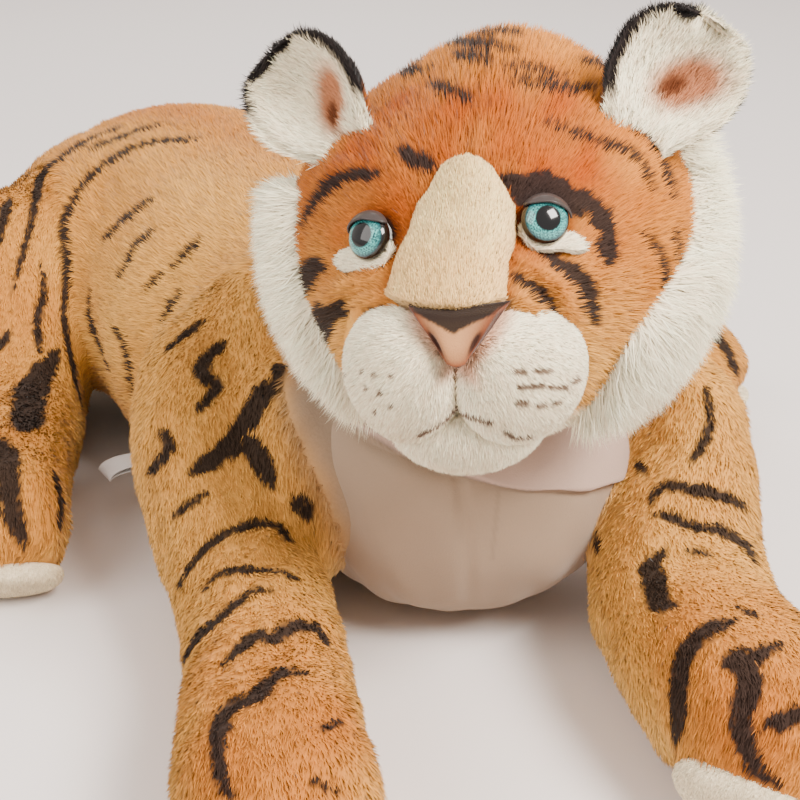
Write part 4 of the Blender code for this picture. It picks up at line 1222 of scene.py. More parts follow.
SOLE_HIGH = {"fore": 0.072, "hind": 0.070}
SOLE_PART = {"foreleg_right": 0.66, "foreleg_left": 0.96, "hindleg_right": 0.60, "hindleg_left": 0.50}
for leg_name, (stations, leg_body, number) in LEGS.items():
    g = legs[leg_name]
    kind = "fore" if leg_name.startswith("fore") else "hind"
    part, used = part_of(body, tri_of == number)
    d = unit(np.array(stations[7][:3]) - np.array(stations[1][:3]))
    edge_points = np.unique(body.tris[(tri_form != number).any(1) & (tri_form == number).any(1)])
    reach = np.percentile((body.verts[edge_points] - np.array(stations[1][:3])) @ d, 99.0) + 0.003
    a = np.array(stations[1][:3]) + d * reach
    rides = ("torso", leg_body, tuple(a), tuple(a + d * 0.085))
    skin_piece(f"{leg_name}_skin_sewn", part, paint_body, rides, (f"{leg_name}_skin", f"{leg_name}_filling"), shell=0.0018)

    def leg_density(p, q, kind=kind, part_up=SOLE_PART[leg_name]):
        hidden = p[:, 2] < 0.004
        sole = (q[:, 0] > SOLE_AT + 0.004) & (p[:, 2] < (part_up - 0.06) * SOLE_HIGH[kind])
        return np.where(hidden | sole, 0.0, 44.0 if kind == "fore" else 30.0)

    pile(f"{leg_name}_pile", part, paint_body, rides, leg_density, 0.0066,
         0.00050 if kind == "fore" else 0.00066, 0.36, messy=0.15, seed=120 + 10 * number)

    # the sole: a padded disc of short cream plush, sewn in all round
    rows, cols = g.points.shape[:2]
    first = rows - 12
    q5 = between(stations, np.array([SOLE_AT]))[0]
    hh, pp = radians(q5[3]), radians(q5[4])
    forward = np.array((-sin(hh) * cos(pp), -cos(hh) * cos(pp), sin(pp)))
    outer = g.points[first]
    mid = outer.mean(0)
    disc, par = [], []
    for i in range(21):
        k = i / 20
        spread = sin(k * pi) ** 0.7 if 0 < i < 20 else 0.0
        high = 0.0160 if k < 0.5 else -0.004
        place = mid + (outer - mid) * (0.975 * spread) + forward * (0.001 + high * abs(cos(k * pi)) ** 0.7)
        place[:, 2] = np.maximum(place[:, 2], 0.0) * SOLE_PART[leg_name]
        disc.append(place)
        par.append(np.stack([np.full(cols, k), np.zeros(cols), np.zeros(cols)], -1))
    sole = Grid(np.array(disc), np.array(par), True).outwards(mid)
    sole.flow = unit(np.tile(np.array((0.0, 0.0, -1.0)), (len(sole.verts), 1)) + 0.4 * forward)
    cream = plain(CREAM, 0.05)
    skin_piece(f"{leg_name}_sole_pad", sole, cream, leg_body, (f"{leg_name}_sole",))
    pile(f"{leg_name}_sole_pile", sole, cream, leg_body,
         lambda p, q: np.where((q[:, 0] < 0.5) & (p[:, 2] > 0.003), 150.0, 0.0), 0.0024, 0.00034, 0.34, seed=125 + 10 * number)

TAIL_MIDDLE = (0.142, 0.417, 0.021)
skin_piece("tail_root_skin_sewn", tail_root, paint_tail, "tail_root", ("tail_root_skin", "tail_root_filling"))
pile("tail_root_pile", tail_root, paint_tail, "tail_root",
     lambda p, q: np.where(p[:, 2] < 0.004, 6.0, 30.0), 0.0066, 0.0007, 0.40, seed=300)
skin_piece("tail_end_skin_sewn", tail_end, paint_tail, "tail_end",
           ("tail_end_skin", "tail_end_filling", "tail_tip_skin"))
pile("tail_end_pile", tail_end, paint_tail, "tail_end",
     lambda p, q: np.where(p[:, 2] < 0.004, 6.0, 30.0), 0.0066, 0.0007, 0.40, seed=310)

# ---- chest: the bib, smooth velour, and the neck -------------------------------------------------------------------------

k_bib = np.linspace(-1, 1, 190)
s_bib = np.linspace(0.694, 0.990, 170)
ss, kk = np.meshgrid(s_bib, k_bib, indexing="ij")
half_round = pi - 1.44
points = section(TORSO, ss, pi + kk * half_round, 0.0)
edge = np.maximum(np.abs(kk), np.abs((ss - 0.842) / 0.148))
bib = Grid(points, np.stack([ss, kk, kk], -1), False).outwards(np.array((0.0, -0.08, 0.11)))
bib.push((0.0042 - 0.0085 * smooth(edge.ravel(), 0.74, 1.0) + 0.0012 * wobble(bib.verts, 0.07, 41)
          - 0.0022 * np.exp(-((kk.ravel() / 0.018) ** 2)) * smooth(ss.ravel(), 0.80, 0.90)))


bib.verts[:, 2] = np.maximum(bib.verts[:, 2], 0.0004)
bib_tree = BVHTree.FromPolygons([Vector(v) for v in bib.verts], bib.tris.tolist())
bib_seam, bib_middle = Marks(), Marks()
for line in (((330, 405), (350, 425), (400, 452), (460, 475), (520, 489), (575, 490), (604, 485), (648, 466)), ((503, 470), (498, 500), (492, 560))):
    pts, share = fine_line(line, 1.0)
    for px, py in pts:
        found = bib_tree.ray_cast(EYE, sight(px, py))
        if found[0] is not None:
            (bib_seam if len(line) > 4 else bib_middle).add(found[0], 0.0011)
bib_seam.ready()
bib_middle.ready()
near_seam = bib_seam.gap(bib.verts)


upper = smooth(above(bib_seam, bib.verts), -0.0010, 0.0016)
bib.push(0.0038 * upper * np.exp(np.minimum(near_seam, 0) / 0.014) - 0.0020 * (1 - upper) * np.exp(np.minimum(near_seam, 0) / 0.006))
# soft creases across the chest
bib.push(0.0012 * wobble(bib.verts * np.array((1.0, 1.0, 0.45)), 0.030, 44))
bib.verts[:, 2] = np.maximum(bib.verts[:, 2], 0.0002)


def paint_bib(p, q):
    # the seam lines are painted darker, and the lowest part of the bib is painted up to 6% darker, a painted shade for
    # light falling from above
    k = 1 + 0.018 * wobble(p, 0.05, 42) - 0.40 * smooth(bib_seam.gap(p), -0.0014, 0.0004) - 0.14 * smooth(bib_middle.gap(p), -0.0008, 0.0004) - 0.06 * smooth(p[:, 2], 0.115, 0.012)
    tone = mix(np.tile(BIB, (len(p), 1)), lin(174, 149, 135), 0.85 * smooth(above(bib_seam, p), -0.0010, 0.0010))
    return np.clip(tone * k[:, None], 0, 1), None


skin_piece("chest_bib_sewn", bib, paint_bib, "torso", ("chest_bib",), material=VELOUR, shell=0.0015)

# the neck: a soft ring about the turning point
neck_axis = unit(HEAD_C - NECK_P)
neck_right = unit(np.cross(np.array((1.0, 0, 0)), neck_axis))
neck_fore = np.cross(neck_axis, neck_right)
rows = 40
prof = np.linspace(radians(14), radians(122), rows)
ang = np.arange(96) / 96 * 2 * pi
rr = 0.0655 + 0.0022 * np.cos(4.0 * (prof - radians(60)))
ring = (NECK_P + neck_right * (np.sin(prof)[:, None, None] * np.cos(ang)[None, :, None] * rr[:, None, None])
        + neck_fore * (np.sin(prof)[:, None, None] * np.sin(ang)[None, :, None] * rr[:, None, None])
        + neck_axis * (np.cos(prof)[:, None, None] * np.ones(96)[None, :, None] * rr[:, None, None]))
neck = Grid(ring, np.zeros(ring.shape), True).outwards(NECK_P)
neck.push(0.0010 * wobble(neck.verts, 0.03, 43))
neck.flow = unit(np.tile(-neck_axis, (len(neck.verts), 1)))


def neck_front(p):
    return smooth(unit(p - NECK_P) @ HEAD_F + 0.03 * wobble(p, 0.02, 45), 0.16, 0.24)


def paint_neck(p, q):
    side = unit(p - NECK_P)
    orange = mix(ORANGE, TAN, np.clip(0.6 + 0.3 * wobble(p, 0.04, 46), 0, 1))
    high = side @ neck_axis
    stripe = smooth(np.abs(high - 0.18 - 0.05 * np.sin(9 * side[:, 0])), 0.06, 0.04) * smooth(side @ HEAD_F, -0.25, -0.40)
    orange = mix(orange, BLACK, 0.95 * stripe)
    return mix(orange, lin(174, 149, 135), neck_front(p)), None


skin_piece("neck_band_sewn", neck, paint_neck, "neck", ("neck_band", "neck_filling"), material=VELOUR)
pile("neck_band_pile", neck, paint_neck, "neck", lambda p, q: np.where(neck_front(p) < 0.5, 40.0, 0.0),
     0.0072, 0.00060, 0.36, messy=0.17, seed=330)

# ---- head --------------------------------------------------------------------------------------------------------------

skin_piece("head_skin", head, paint_head, "head",
           ("head_side_right", "head_side_left", "head_filling", "throat_panel"))


def on_face(t, e):
    """1 where other panels lie over the orange skin."""
    at = np.abs(t)
    bridge = (np.abs(t - front_mid(e)) < front_edge(e) - 0.8) & (e > -6) & (e < 34)
    muzzle = (at < front_edge(e) - 9) & (e <= -9) & (e > -40)
    eyes = (arc(t, e, *EYE_AT[-1]) < 6.2) | (arc(t, e, *EYE_AT[1]) < 6.2)
    return bridge | muzzle | eyes


def head_density(p, q):
    t, e = head_turn(p)
    front = np.abs(t) < 100
    d = np.where(front, 78.0, 36.0)
    d = np.where(e < -62, 12.0, d)
    return np.where(on_face(t, e), 0.0, d)


def head_length(p, q):
    t, e = head_turn(p)
    near = np.minimum(arc(t, e, *EYE_AT[-1]), arc(t, e, *EYE_AT[1]))
    return 0.0030 + 0.0036 * smooth(near, 6, 26) + 0.0022 * smooth(e, 30, 70)


for name, low, high, seed in (("head_pile_right", -181, 0, 400), ("head_pile_left", 0, 181, 410)):
    pile(name, head, paint_head, "head", head_density, head_length, 0.00042, 0.50, messy=0.16,
         where=lambda p, n, q, low=low, high=high: (head_turn(p)[0] >= low) & (head_turn(p)[0] < high), seed=seed)

# the cream bridge
bridge = patch(
    lambda u, v: u * (front_edge(np.maximum(12.6 + 21.0 * v, 2.0)) - 0.2) + front_mid(12.6 + 21.0 * v), lambda u, v: 12.6 + 21.0 * v + 1.6 * u * u * smooth(v, -0.3, -1.0), 70, 110,
    lambda u, v: 0.0010 + 0.0078 * (1 - u * u) ** 0.9 * (1 - 0.25 * v), back=0.006,
)
bridge.flow = unit(np.tile(HEAD_U * 1.0 - HEAD_F * 0.35, (len(bridge.verts), 1)))


def paint_bridge(p, q):
    e = q[:, 1]
    base = mix(lin(250, 206, 138), lin(254, 219, 156), smooth(e, 0, 16))
    base = mix(base, lin(214, 160, 108), 0.35 * smooth(np.abs(q[:, 2]), 0.62, 1.0) + 0.25 * smooth(e, 26, 34))
    low = smooth(e, -4.6, -7.6)
    return mix(base, lin(60, 46, 40), 0.85 * low * smooth(np.abs(q[:, 2]), 1.05, 0.7)), None


skin_piece("nose_bridge_sewn", bridge, paint_bridge, "head", ("nose_bridge",), shell=0.0012)
pile("nose_bridge_pile", bridge, paint_bridge, "head", 330, 0.0030, 0.00028, 0.34, messy=0.16, seed=420)


def lens(t0, e0, rt, re, high, rows=34, cols=72, shape=None, sink=0.0045, bulge=2.4):
    """A sewn puff on the head round turn t0 and lift e0: a closed cushion, its back inside the head."""
    rho = np.concatenate([np.linspace(0, 1, rows), np.linspace(0.9, 0, 6)])
    top = np.arange(len(rho)) < rows
    phi = np.arange(cols) / cols * 2 * pi
    rr, pp = np.meshgrid(rho, phi, indexing="ij")
    tt = t0 + rt * rr * np.cos(pp)
    ee = e0 + re * rr * np.sin(pp)
    if shape is not None:
        tt, ee = shape(tt, ee, rr, pp)
    off = np.where(top[:, None], high * (1 - rr ** bulge) ** 0.62 - sink * rr ** 6, -sink - 0.004 * (1 - rr))
    points = head_place(tt, ee, off)
    g = Grid(points, np.stack([tt, ee, rr * top[:, None] + 2.0 * ~top[:, None]], -1), True)
    g.outwards(points[-1].mean(0) - (points[0].mean(0) - points[-1].mean(0)))
    return g


WHISKERS = [(347, 373), (363, 372), (375, 374), (392, 376), (367, 387), (381, 393), (392, 406), (376, 411)]
STREAKS = [((515, 372), (525, 372)), ((534, 371), (549, 371)), ((519, 387), (543, 385)), ((550, 387), (567, 387)),
           ((517, 403), (526, 402)), ((536, 405), (544, 405)), ((551, 403), (558, 402)), ((571, 381), (578, 379))]
MOUTH = [((455, 404), (449, 414), (438, 424), (419, 434)), ((457, 404), (466, 413), (478, 418), (491, 422)),
         ((505, 431), (516, 437), (529, 436)), ((455, 366), (455, 384), (456, 406))]

muzzles = {}
for side, name in SIDES:
    def shape(tt, ee, rr, pp, side=side):
        # fuller low at the front, narrower towards the cheek
        tt = tt + side * 1.5 * rr * np.sin(pp) * -1.0
        tt = np.where(side * (tt - 2.2) < 0.15, 2.2 + side * 0.15, tt)
        return tt, ee

    g = lens(2.2 + side * 17.4, -24.8, 18.0, 16.8, 0.0150, shape=shape)
    lean = unit(g.verts - (NOSE_AT - HEAD_U * 0.004))
    g.flow = unit(lean - np.array((0, 0, 0.35)))
    muzzles[side] = g
chin = lens(2.0, -42.8, 27.0, 11.6, 0.0118)
chin.flow = unit(chin.verts - NOSE_AT - HEAD_U * 0.05)

front_tree, front_tris, front_starts = tree_of([muzzles[-1], muzzles[1], chin])
dots, mouth = Marks(), Marks()
for px, py in WHISKERS:
    hit = front_tree.ray_cast(EYE, sight(px, py))
    if hit[0] is not None:
        dots.add(hit[0], 0.0014)
for a, b in STREAKS:
    for k in np.linspace(0, 1, 9):
        hit = front_tree.ray_cast(EYE, sight(a[0] + (b[0] - a[0]) * k, a[1] + (b[1] - a[1]) * k))
        if hit[0] is not None:
                dots.add(hit[0], 0.0012)
for line in MOUTH:
    pts, share = fine_line(line, 1.0)
    for (px, py), sh in zip(pts, share):
        hit = front_tree.ray_cast(EYE, sight(px, py))
        if hit[0] is not None:
            mouth.add(hit[0], 0.0013)
dots.ready()
mouth.ready()


def paint_muzzle(p, q):
    base = np.tile(WHITE, (len(p), 1)) * (1 + 0.02 * wobble(p, 0.02, 51))[:, None]
    # airbrushed red-brown round the nose
    t, e = head_turn(p)
    v = (e + 17.0) / 11.2
    side = np.abs(t - (3.4 - 1.6 * np.clip(v, 0, 1))) - (1.4 + 11.6 * np.clip(v, 0.0, 1.2) ** 0.85)
    base = mix(base, lin(196, 104, 64), 0.62 * smooth(np.maximum(side, 14.0 * (-0.12 - v)), 5.0, 0.2) * smooth(v, 1.5, 1.1))
    base = mix(base, lin(92, 62, 46), 0.90 * dots.weight(p, 0.0003, 0.0006))
    base = mix(base, lin(84, 56, 46), 0.92 * mouth.weight(p, 0.0002, 0.0006))
    return np.clip(base, 0, 1), None


for side, name in SIDES:
    g = muzzles[side]
    skin_piece(f"muzzle_{name}_sewn", g, paint_muzzle, "head", (f"muzzle_{name}",))
    pile(f"muzzle_{name}_pile", g, paint_muzzle, "head",
         lambda p, q: np.where(q[:, 2] <= 1.0, 230.0, 0.0), 0.0036, 0.00030, 0.36, messy=0.16, seed=430 + side)
skin_piece("chin_sewn", chin, paint_muzzle, "head", ())
pile("chin_pile", chin, paint_muzzle, "head", lambda p, q: np.where(q[:, 2] <= 1.0, 200.0, 0.0), 0.0044, 0.00032, 0.38, seed=440)

# white patches round the lower outer side of each eye
for side, name in SIDES:
    te, ee = EYE_AT[side]
    uu, vv = np.meshgrid(np.linspace(0, 1, 60), np.linspace(-1, 1, 24), indexing="ij")
    phi = 10.0 + (158.0 - 10.0) * uu if side < 0 else 6.0 + (156.0 - 6.0) * uu
    inner = 5.3 + 2.6 * smooth(phi, 120, 160)
    wide = 5.0 * np.sin(pi * uu) ** 0.55 + 5.4 * np.exp(-(((phi - 140) / 26) ** 2))
    if side > 0:
        wide = 3.6 * np.sin(pi * uu) ** 0.55 + 6.0 * np.exp(-(((phi - 144) / 24) ** 2))
    reach = inner + wide * np.clip((vv + 1) / 2, 0, 1) * smooth(np.minimum(uu, 1 - uu), -0.02, 0.10)
    t = te - side * reach * np.cos(np.radians(phi))
    e = ee - reach * np.sin(np.radians(phi)) * 0.92
    rim = np.maximum(np.abs(2 * uu - 1), vv)
    off = 0.0008 + 0.0008 * (1 - vv * vv) * np.sin(pi * uu) - 0.0040 * smooth(rim, 0.86, 1.0)
    g = Grid(head_place(t, e, off), np.stack([t, e, uu], -1), False).outwards(HEAD_C)
    g.flow = unit(away_from_nose(g.verts, 0.1) - HEAD_U * 0.3)
    skin_piece(f"eye_patch_{name}_sewn", g, plain(WHITE, 0.03), "head", (f"eye_patch_{name}",), shell=0.0010)
    pile(f"eye_patch_{name}_pile", g, plain(WHITE, 0.03), "head",
         lambda p, q, side=side: np.where(arc(q[:, 0], q[:, 1], *EYE_AT[side]) > 6.0, 220.0, 0.0), 0.0036, 0.00030, 0.26, messy=0.16, seed=450 + side)

# the cheek ruffs, long white pile from under the ears to the throat
for side, name in SIDES:
    top = {-1: 17.0, 1: 33.0}[side]
    g = patch(lambda u, v, side=side, top=top: side * (81 + (22 if side > 0 else 5) * smooth(v, -0.4, 0.6) + (24 - (8 if side > 0 else 0) * smooth(v, 0, 1)) * u * (1 - np.where(u > 0, 0.55, 0.30 * (v > 0)) * np.abs(v) ** 3) + 0.2 * np.minimum(0, -50 + (top + 50) * (v + 1) / 2)),
              lambda u, v, top=top: -50 + (top + 50) * (v + 1) / 2, 40, 60,
              lambda u, v: 0.0050 * (1 - u * u) + 0.002, back=0.006)
    outward = unit(g.verts - (HEAD_C + HEAD_F * 0.05))
    g.flow = unit(outward * 0.8 - HEAD_F * 0.15 - np.array((0, 0, 0.75)))
    skin_piece(f"ruff_{name}_sewn", g, plain(WHITE, 0.03), "head", (f"ruff_{name}",), shell=0.0015)
    pile(f"ruff_{name}_pile", g, plain(WHITE * 1.02, 0.05), "head", 140, 0.0185, 0.00042, 0.46, messy=0.30, seed=460 + side)

# the nose: a small padded triangle of short fabric
uu, vv = np.meshgrid(np.linspace(-1, 1, 50), np.linspace(0, 1, 40), indexing="ij")
rim = np.maximum(np.abs(uu), np.abs(2 * vv - 1))
nt = 3.4 - 1.6 * vv + uu * (0.5 + 12.5 * vv ** 0.92)
ne = -17.0 + 11.2 * vv + 1.0 * np.abs(uu) * vv
off = 0.0155 - 0.0030 * vv - 0.0060 * smooth(rim, 0.72, 1.0) + 0.0018 * (1 - uu * uu) - 0.0035 * np.exp(-(((np.abs(uu) - 0.66) / 0.16) ** 2 + ((vv - 0.42) / 0.20) ** 2))
nose = Grid(head_place(nt, ne, off), np.stack([uu, vv, rim], -1), False).outwards(HEAD_C)


def paint_nose(p, q):
    u, v = np.abs(q[:, 0]), q[:, 1]
    base = mix(lin(122, 78, 50), lin(168, 120, 80), smooth(v, 0.0, 0.5) * smooth(u, 0.8, 0.1))
    base = mix(base, lin(104, 46, 22), 0.72 * smooth(q[:, 2], 0.52, 0.80))
    base = mix(base, lin(52, 22, 12), 0.90 * smooth(q[:, 2], 0.74, 0.86) * smooth(v, 0.90, 0.80))
    nostril = np.exp(-(((u - 0.66) / 0.17) ** 2 + ((v - 0.42) / 0.22) ** 2))
    base = mix(base, lin(34, 14, 9), 0.92 * smooth(nostril, 0.30, 0.85))
    return mix(base, lin(22, 15, 11), 0.97 * smooth(v - (0.62 + 0.34 * u) + 0.02 * wobble(p, 0.0012, 62), -0.04, 0.04)), None


NOSE = plush("nose_cloth", rough=0.62, sheen=0.15, grain=1500.0, bump=0.4, mottle=0.05)
skin_piece("nose_sewn", nose, paint_nose, "head", ("nose",), material=NOSE, shell=0.0012)
pile("nose_pile", nose, paint_nose, "head", 520, 0.0016, 0.00024, 0.30, messy=0.3, seed=470)

# ---- eyes -----------------------------------------------------------------------------------------------------------------


def eye_frame(side):
    turn, lift = EYE_AT[side]
    centre = head_place(turn, lift, 0.0, False)
    across = head_place(turn + 3, lift, 0.0, False) - head_place(turn - 3, lift, 0.0, False)
    out = unit(np.cross(across, head_place(turn, lift + 3, 0.0, False) - head_place(turn, lift - 3, 0.0, False)))
    if out @ HEAD_F < 0:
        out = -out
    right = unit(np.cross(HEAD_U, out))
    return centre + out * 0.0012, right, np.cross(out, right), out


def glossy(name, rough, coat, base_mottle=0.03):
    m = plush(name, rough=rough, sheen=0.0, grain=1400.0, bump=0.0, mottle=base_mottle)
    shade = next(n for n in m.node_tree.nodes if n.type == "BSDF_PRINCIPLED")
    shade.inputs["Coat Weight"].default_value = coat
    shade.inputs["Coat Roughness"].default_value = 0.02
    shade.inputs["Coat IOR"].default_value = 1.40
    shade.inputs["Specular IOR Level"].default_value = 0.15
    return m


EYE_MATERIAL = glossy("eye_glass", 0.16, 1.0, 0.12)
LID_MATERIAL = glossy("lid_plastic_satin", 0.38, 0.25, 0.06)
EYE_R = 0.0109
for side, name in SIDES:
    at, right, up, out = eye_frame(side)
    th = np.concatenate([np.linspace(0, pi / 2, 44), np.linspace(0, 1, 5)[1:] + pi / 2])
    phi = np.arange(96) / 96 * 2 * pi
    tt, pp = np.meshgrid(th, phi, indexing="ij")
    dome = tt <= pi / 2
    r = np.where(dome, EYE_R * np.sin(tt), EYE_R * np.cos((tt - pi / 2) * 0.9 * pi / 2 / 1.0).clip(0.05, 1))
    h = np.where(dome, 0.0004 + 0.0068 * np.cos(tt), 0.0004 - 0.006 * np.sin((tt - pi / 2) * pi / 2))
    pts = at + right * (r * np.cos(pp))[..., None] + up * (r * np.sin(pp))[..., None] + out * h[..., None]
    g = Grid(pts, np.stack([r / EYE_R, pp, tt], -1), True).outwards(at)

    def paint_eye(p, q, at=at, right=right, up=up):
        d = p - at
        x, y = d @ right, d @ up
        k, ang = np.hypot(x, y) / EYE_R, np.arctan2(y, x)
        fleck = (0.5 + 0.5 * np.sin(31 * ang + 6 * np.sin(9 * k))) * 0.5 + 0.5 * (0.5 + 0.5 * np.sin(53 * ang + 40 * k))
        glitter = 0.5 + 0.5 * wobble(p, 0.0007, 61)
        iris = mix(lin(3, 34, 44), lin(96, 196, 190), np.clip(0.50 * fleck + 1.1 * glitter - 0.45, 0, 1))
        iris = mix(iris, lin(16, 52, 60), 0.85 * smooth(k, 0.74, 0.88))
        # painted shadow: the upper part of the iris is darkened, standing in for the lid's shadow
        iris = mix(iris, lin(14, 60, 66), 0.55 * smooth(y, 0.0020, 0.0075))
        colour = mix(np.tile(lin(6, 7, 9), (len(p), 1)), iris, smooth(k, 0.51, 0.54))
        return mix(colour, lin(14, 12, 12), smooth(k, 0.86, 0.91)), None

    skin_piece(f"eye_{name}_dome", g, paint_eye, "head", (f"eye_{name}",), material=EYE_MATERIAL)

    az, el = np.meshgrid(np.radians(np.linspace(-86, 86, 50)), np.radians(np.linspace(36, 86, 22)), indexing="ij")
    # the lid comes down over the outer corner
    el = el - np.radians(34) * np.clip(side * az / radians(86), 0, 1) ** 1.3 * (1 - (el - el.min()) / (el.max() - el.min()))
    dip = 0.0
    pts = (at + right * (0.0123 * np.sin(az) * np.cos(el))[..., None] + up * (0.0123 * np.sin(el + dip))[..., None]
           + out * (0.0006 + 0.0092 * np.cos(az) * np.cos(el))[..., None])
    g = Grid(pts, np.stack([az, el, el], -1), False).outwards(at)
    lid = skin_piece(f"eyelid_{name}_moulded", g, plain(lin(58, 52, 51), 0.05, 0.004), "head",
                     (f"eyelid_{name}",), material=LID_MATERIAL, shell=0.0010)

# ---- ears -----------------------------------------------------------------------------------------------------------------

EAR_SIZE = {-1: (0.0325, 0.0475), 1: (0.0330, 0.0535)}
EAR_CUP = 0.015
EAR_AT = {-1: (-56, 33), 1: (64, 34)}
EAR_LEAN = {-1: 40, 1: 22}


def ear_frame(side):
    base = head_place(EAR_AT[side][0], EAR_AT[side][1], 0.001, False)
    lean = radians(EAR_LEAN[side])
    up = unit(HEAD_L * (side * sin(lean)) + HEAD_U * cos(lean) - HEAD_F * 0.05)
    face = unit(HEAD_F * 0.95 + HEAD_L * (side * 0.25))
    across = unit(np.cross(face, up))
    return base, up, across, unit(np.cross(up, across))


for side, name in SIDES:
    base, up, across, face = ear_frame(side)
    EAR_HALF, EAR_TALL = EAR_SIZE[side]
    base = base + (HEAD_L * 0.005 if side > 0 else 0.0)
    uu, vv = np.meshgrid(np.linspace(-1, 1, 56), np.linspace(-0.14, 1.0, 64), indexing="ij")

    def ear(off, grow=0.0, uu=uu, vv=vv, base=base, EAR_HALF=EAR_HALF, EAR_TALL=EAR_TALL):
        v = np.clip(vv, 0, 1)
        wide = EAR_HALF * (0.80 + 0.35 * v) * np.sqrt(np.maximum(0.004, 1 - v ** 2.8)) * (1 - 0.42 * smooth(vv, 0.34, -0.14) ** 1.5) + grow
        cup = EAR_CUP * (1 - uu ** 2) * (0.5 + 0.5 * np.sin(pi * np.minimum(1, v + 0.15)))
        pts = base + up * (0.004 + vv * EAR_TALL)[..., None] + across * (uu * wide)[..., None] - face * (cup + off)[..., None]
        # the lower corners sink into the head
        return pts + unit(HEAD_C - pts) * (0.013 * np.abs(uu) ** 3 * smooth(vv, 0.30, -0.14))[..., None]

    edge = np.maximum(np.abs(uu), smooth(vv, 0.55, 1.0))
    params = np.stack([uu, vv, edge], -1)
    front = Grid(ear(0.0010 + 0.0034 * smooth(edge, 0.80, 1.0)), params, False)
    back = Grid(ear(0.0088 - 0.0034 * smooth(edge, 0.80, 1.0)), params, False)
    if (front.normals[56 * 30] @ face) < 0:
        front.tris, front.quads = front.tris[:, ::-1].copy(), front.quads[:, ::-1].copy()
        front._normals()
    if (back.normals[56 * 30] @ face) > 0:
        back.tris, back.quads = back.tris[:, ::-1].copy(), back.quads[:, ::-1].copy()
        back._normals()
    spread = up[None, :] * 1.0 + across[None, :] * (uu.reshape(-1, 1) * 0.9)
    front.flow = unit(spread + face * 0.35)
    back.flow = unit(spread)
    rim_at = np.maximum(np.abs(uu), vv).reshape(-1)

    def paint_front(p, q, side=side, across=across):
        u, v = np.abs(q[:, 0]), q[:, 1]
        # the hollow: a soft tan wedge, darkest at its inner end, in millimetres outwards and up
        turned = radians(26.0 if side > 0 else 140.0)
        x = side * np.sign(np.dot(across, HEAD_L)) * q[:, 0] * 36 - (9.0 if side > 0 else -9.0)
        y = (v - (0.40 if side > 0 else 0.20)) * 52
        s1, s2 = x * cos(turned) + y * sin(turned), -x * sin(turned) + y * cos(turned)
        hollow = np.exp(-((s1 / 23) ** 2 + (s2 / 14) ** 2))
        spot = np.exp(-(((s1 + 7) / 9) ** 2 + (s2 / 5.5) ** 2))
        tone = mix(np.tile(WHITE, (len(p), 1)), lin(172, 88, 34), 0.88 * smooth(hollow, 0.20, 0.80))
        tone = mix(tone, lin(84, 34, 8), 0.85 * smooth(spot, 0.25, 0.85))
        inward = -side * np.sign(np.dot(across, HEAD_L)) * q[:, 0]
        outer_side = smooth(inward, 0.10, -0.10) if side < 0 else smooth(inward, 0.30, 0.12)
        reach = np.where(side > 0, 1 - outer_side, 1 - outer_side * smooth(v, 0.72, 0.55))
        tone = mix(tone, BLACK, smooth(q[:, 2], 0.80, 0.88) * smooth(v, 0.08, 0.16) * reach)
        return np.clip(tone * (1 + 0.03 * wobble(p, 0.01, 71))[:, None], 0, 1), None

    def paint_back(p, q, side=side, across=across):
        u, v = np.abs(q[:, 0]), q[:, 1]
        spot = np.exp(-((u / 0.42) ** 2 + ((v - 0.50) / 0.24) ** 2))
        tone = mix(np.tile(BLACK, (len(p), 1)), ORANGE, smooth(v, 0.18, 0.04))
        outward = side * np.sign(np.dot(across, HEAD_L)) * q[:, 0]
        tone = mix(tone, WHITE, smooth(np.maximum(u, smooth(v, 0.5, 1.0)), 0.42, 0.52) * smooth(outward, -0.05, 0.15) if side > 0 else smooth(u, 0.42, 0.54) * smooth(outward, 0.0, 0.2) * smooth(v, 0.72, 0.56))
        return mix(tone, WHITE, 0.9 * smooth(spot, 0.52, 0.68)), None

    body = f"ear_{name}"
    skin_piece(f"ear_front_{name}_sewn", front, paint_front, body, (f"ear_front_{name}",), shell=0.0012)
    skin_piece(f"ear_back_{name}_sewn", back, paint_back, body, (f"ear_back_{name}",), shell=0.0012)

    def front_length(p, q):
        hollow = np.exp(-((np.abs(q[:, 0]) / 0.52) ** 2 + ((q[:, 1] - 0.16) / 0.34) ** 2))
        return 0.0064 - 0.0026 * smooth(hollow, 0.3, 0.9) + 0.0012 * smooth(q[:, 2], 0.86, 0.96)

    pile(f"ear_front_{name}_pile", front, paint_front, body,
         lambda p, q: np.where(q[:, 1] > -0.12, 210.0, 0.0), front_length, 0.00034, 0.34, messy=0.20, seed=500 + side)
    pile(f"ear_back_{name}_pile", back, paint_back, body,
         lambda p, q: np.where(q[:, 2] > 0.82, 420.0, 90.0), lambda p, q: 0.0056 + 0.0008 * smooth(q[:, 2], 0.8, 0.9), 0.00046, 0.30, messy=0.22, seed=510 + side)

# ---- care label: a folded bare tape --------------------------------------------------------------------------------------

root = np.array((-0.150, 0.052, 0.034))
out = unit(np.array((-0.95, -0.20, -0.12)))
along = unit(np.array((0.18, -0.96, 0.0)))
uu, vv = np.meshgrid(np.linspace(0, 1, 24), np.linspace(0, 1, 60), indexing="ij")
fold = vv * 2 * pi * 0.5
points = (root + out * (0.002 + 0.028 * np.sin(fold))[..., None] + along * (0.021 * (uu - 0.5))[..., None]
          + np.array((0, 0, 1.0)) * (0.0035 * np.sin(pi * np.minimum(vv, 1 - vv) * 2) - 0.0016 * np.cos(fold))[..., None])
tape = Grid(points, np.stack([uu, vv, uu], -1), False)
WEAVE = plush("label_weave", rough=0.6, sheen=0.1, grain=2600.0, bump=0.5, mottle=0.04)
skin_piece("care_label_tape", tape, plain(lin(240, 242, 244), 0.01), "torso", ("care_label",), material=WEAVE, shell=0.0004)

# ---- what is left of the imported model: the eyes' washers, inside the head ------------------------------------------------

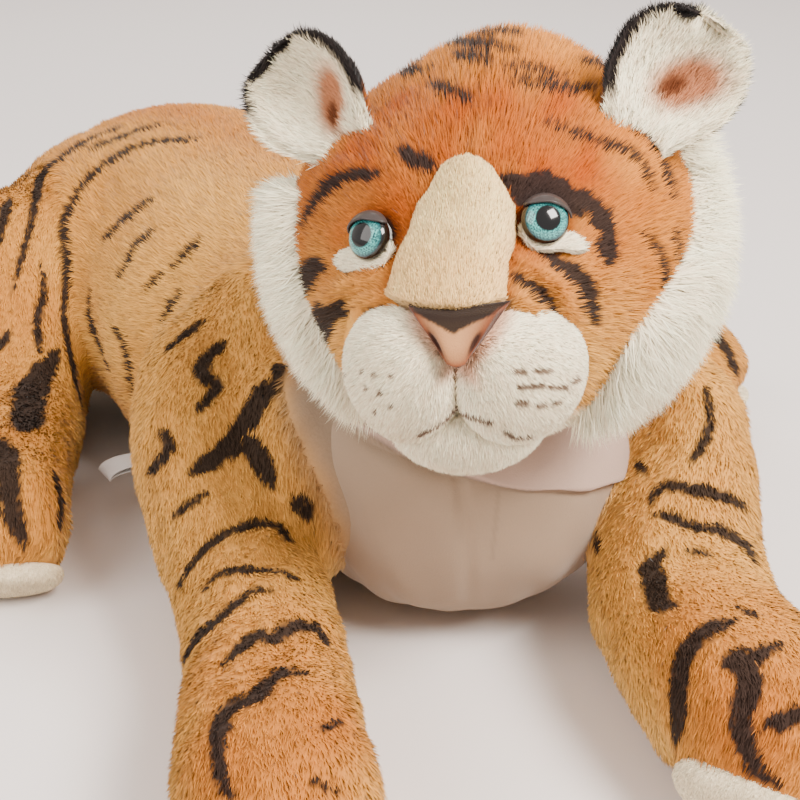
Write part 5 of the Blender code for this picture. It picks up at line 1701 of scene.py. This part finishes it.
washer = plush("washer_moulded", rough=0.5, sheen=0.0, grain=600.0, bump=0.1, mottle=0.05, from_colour=False, base=(0.72, 0.72, 0.70))
for side, name in SIDES:
    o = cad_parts[f"eye_washer_{name}"]
    o = o if hasattr(o, "material_slots") else bpy.data.objects[o]
    for slot in o.material_slots:
        slot.material = washer
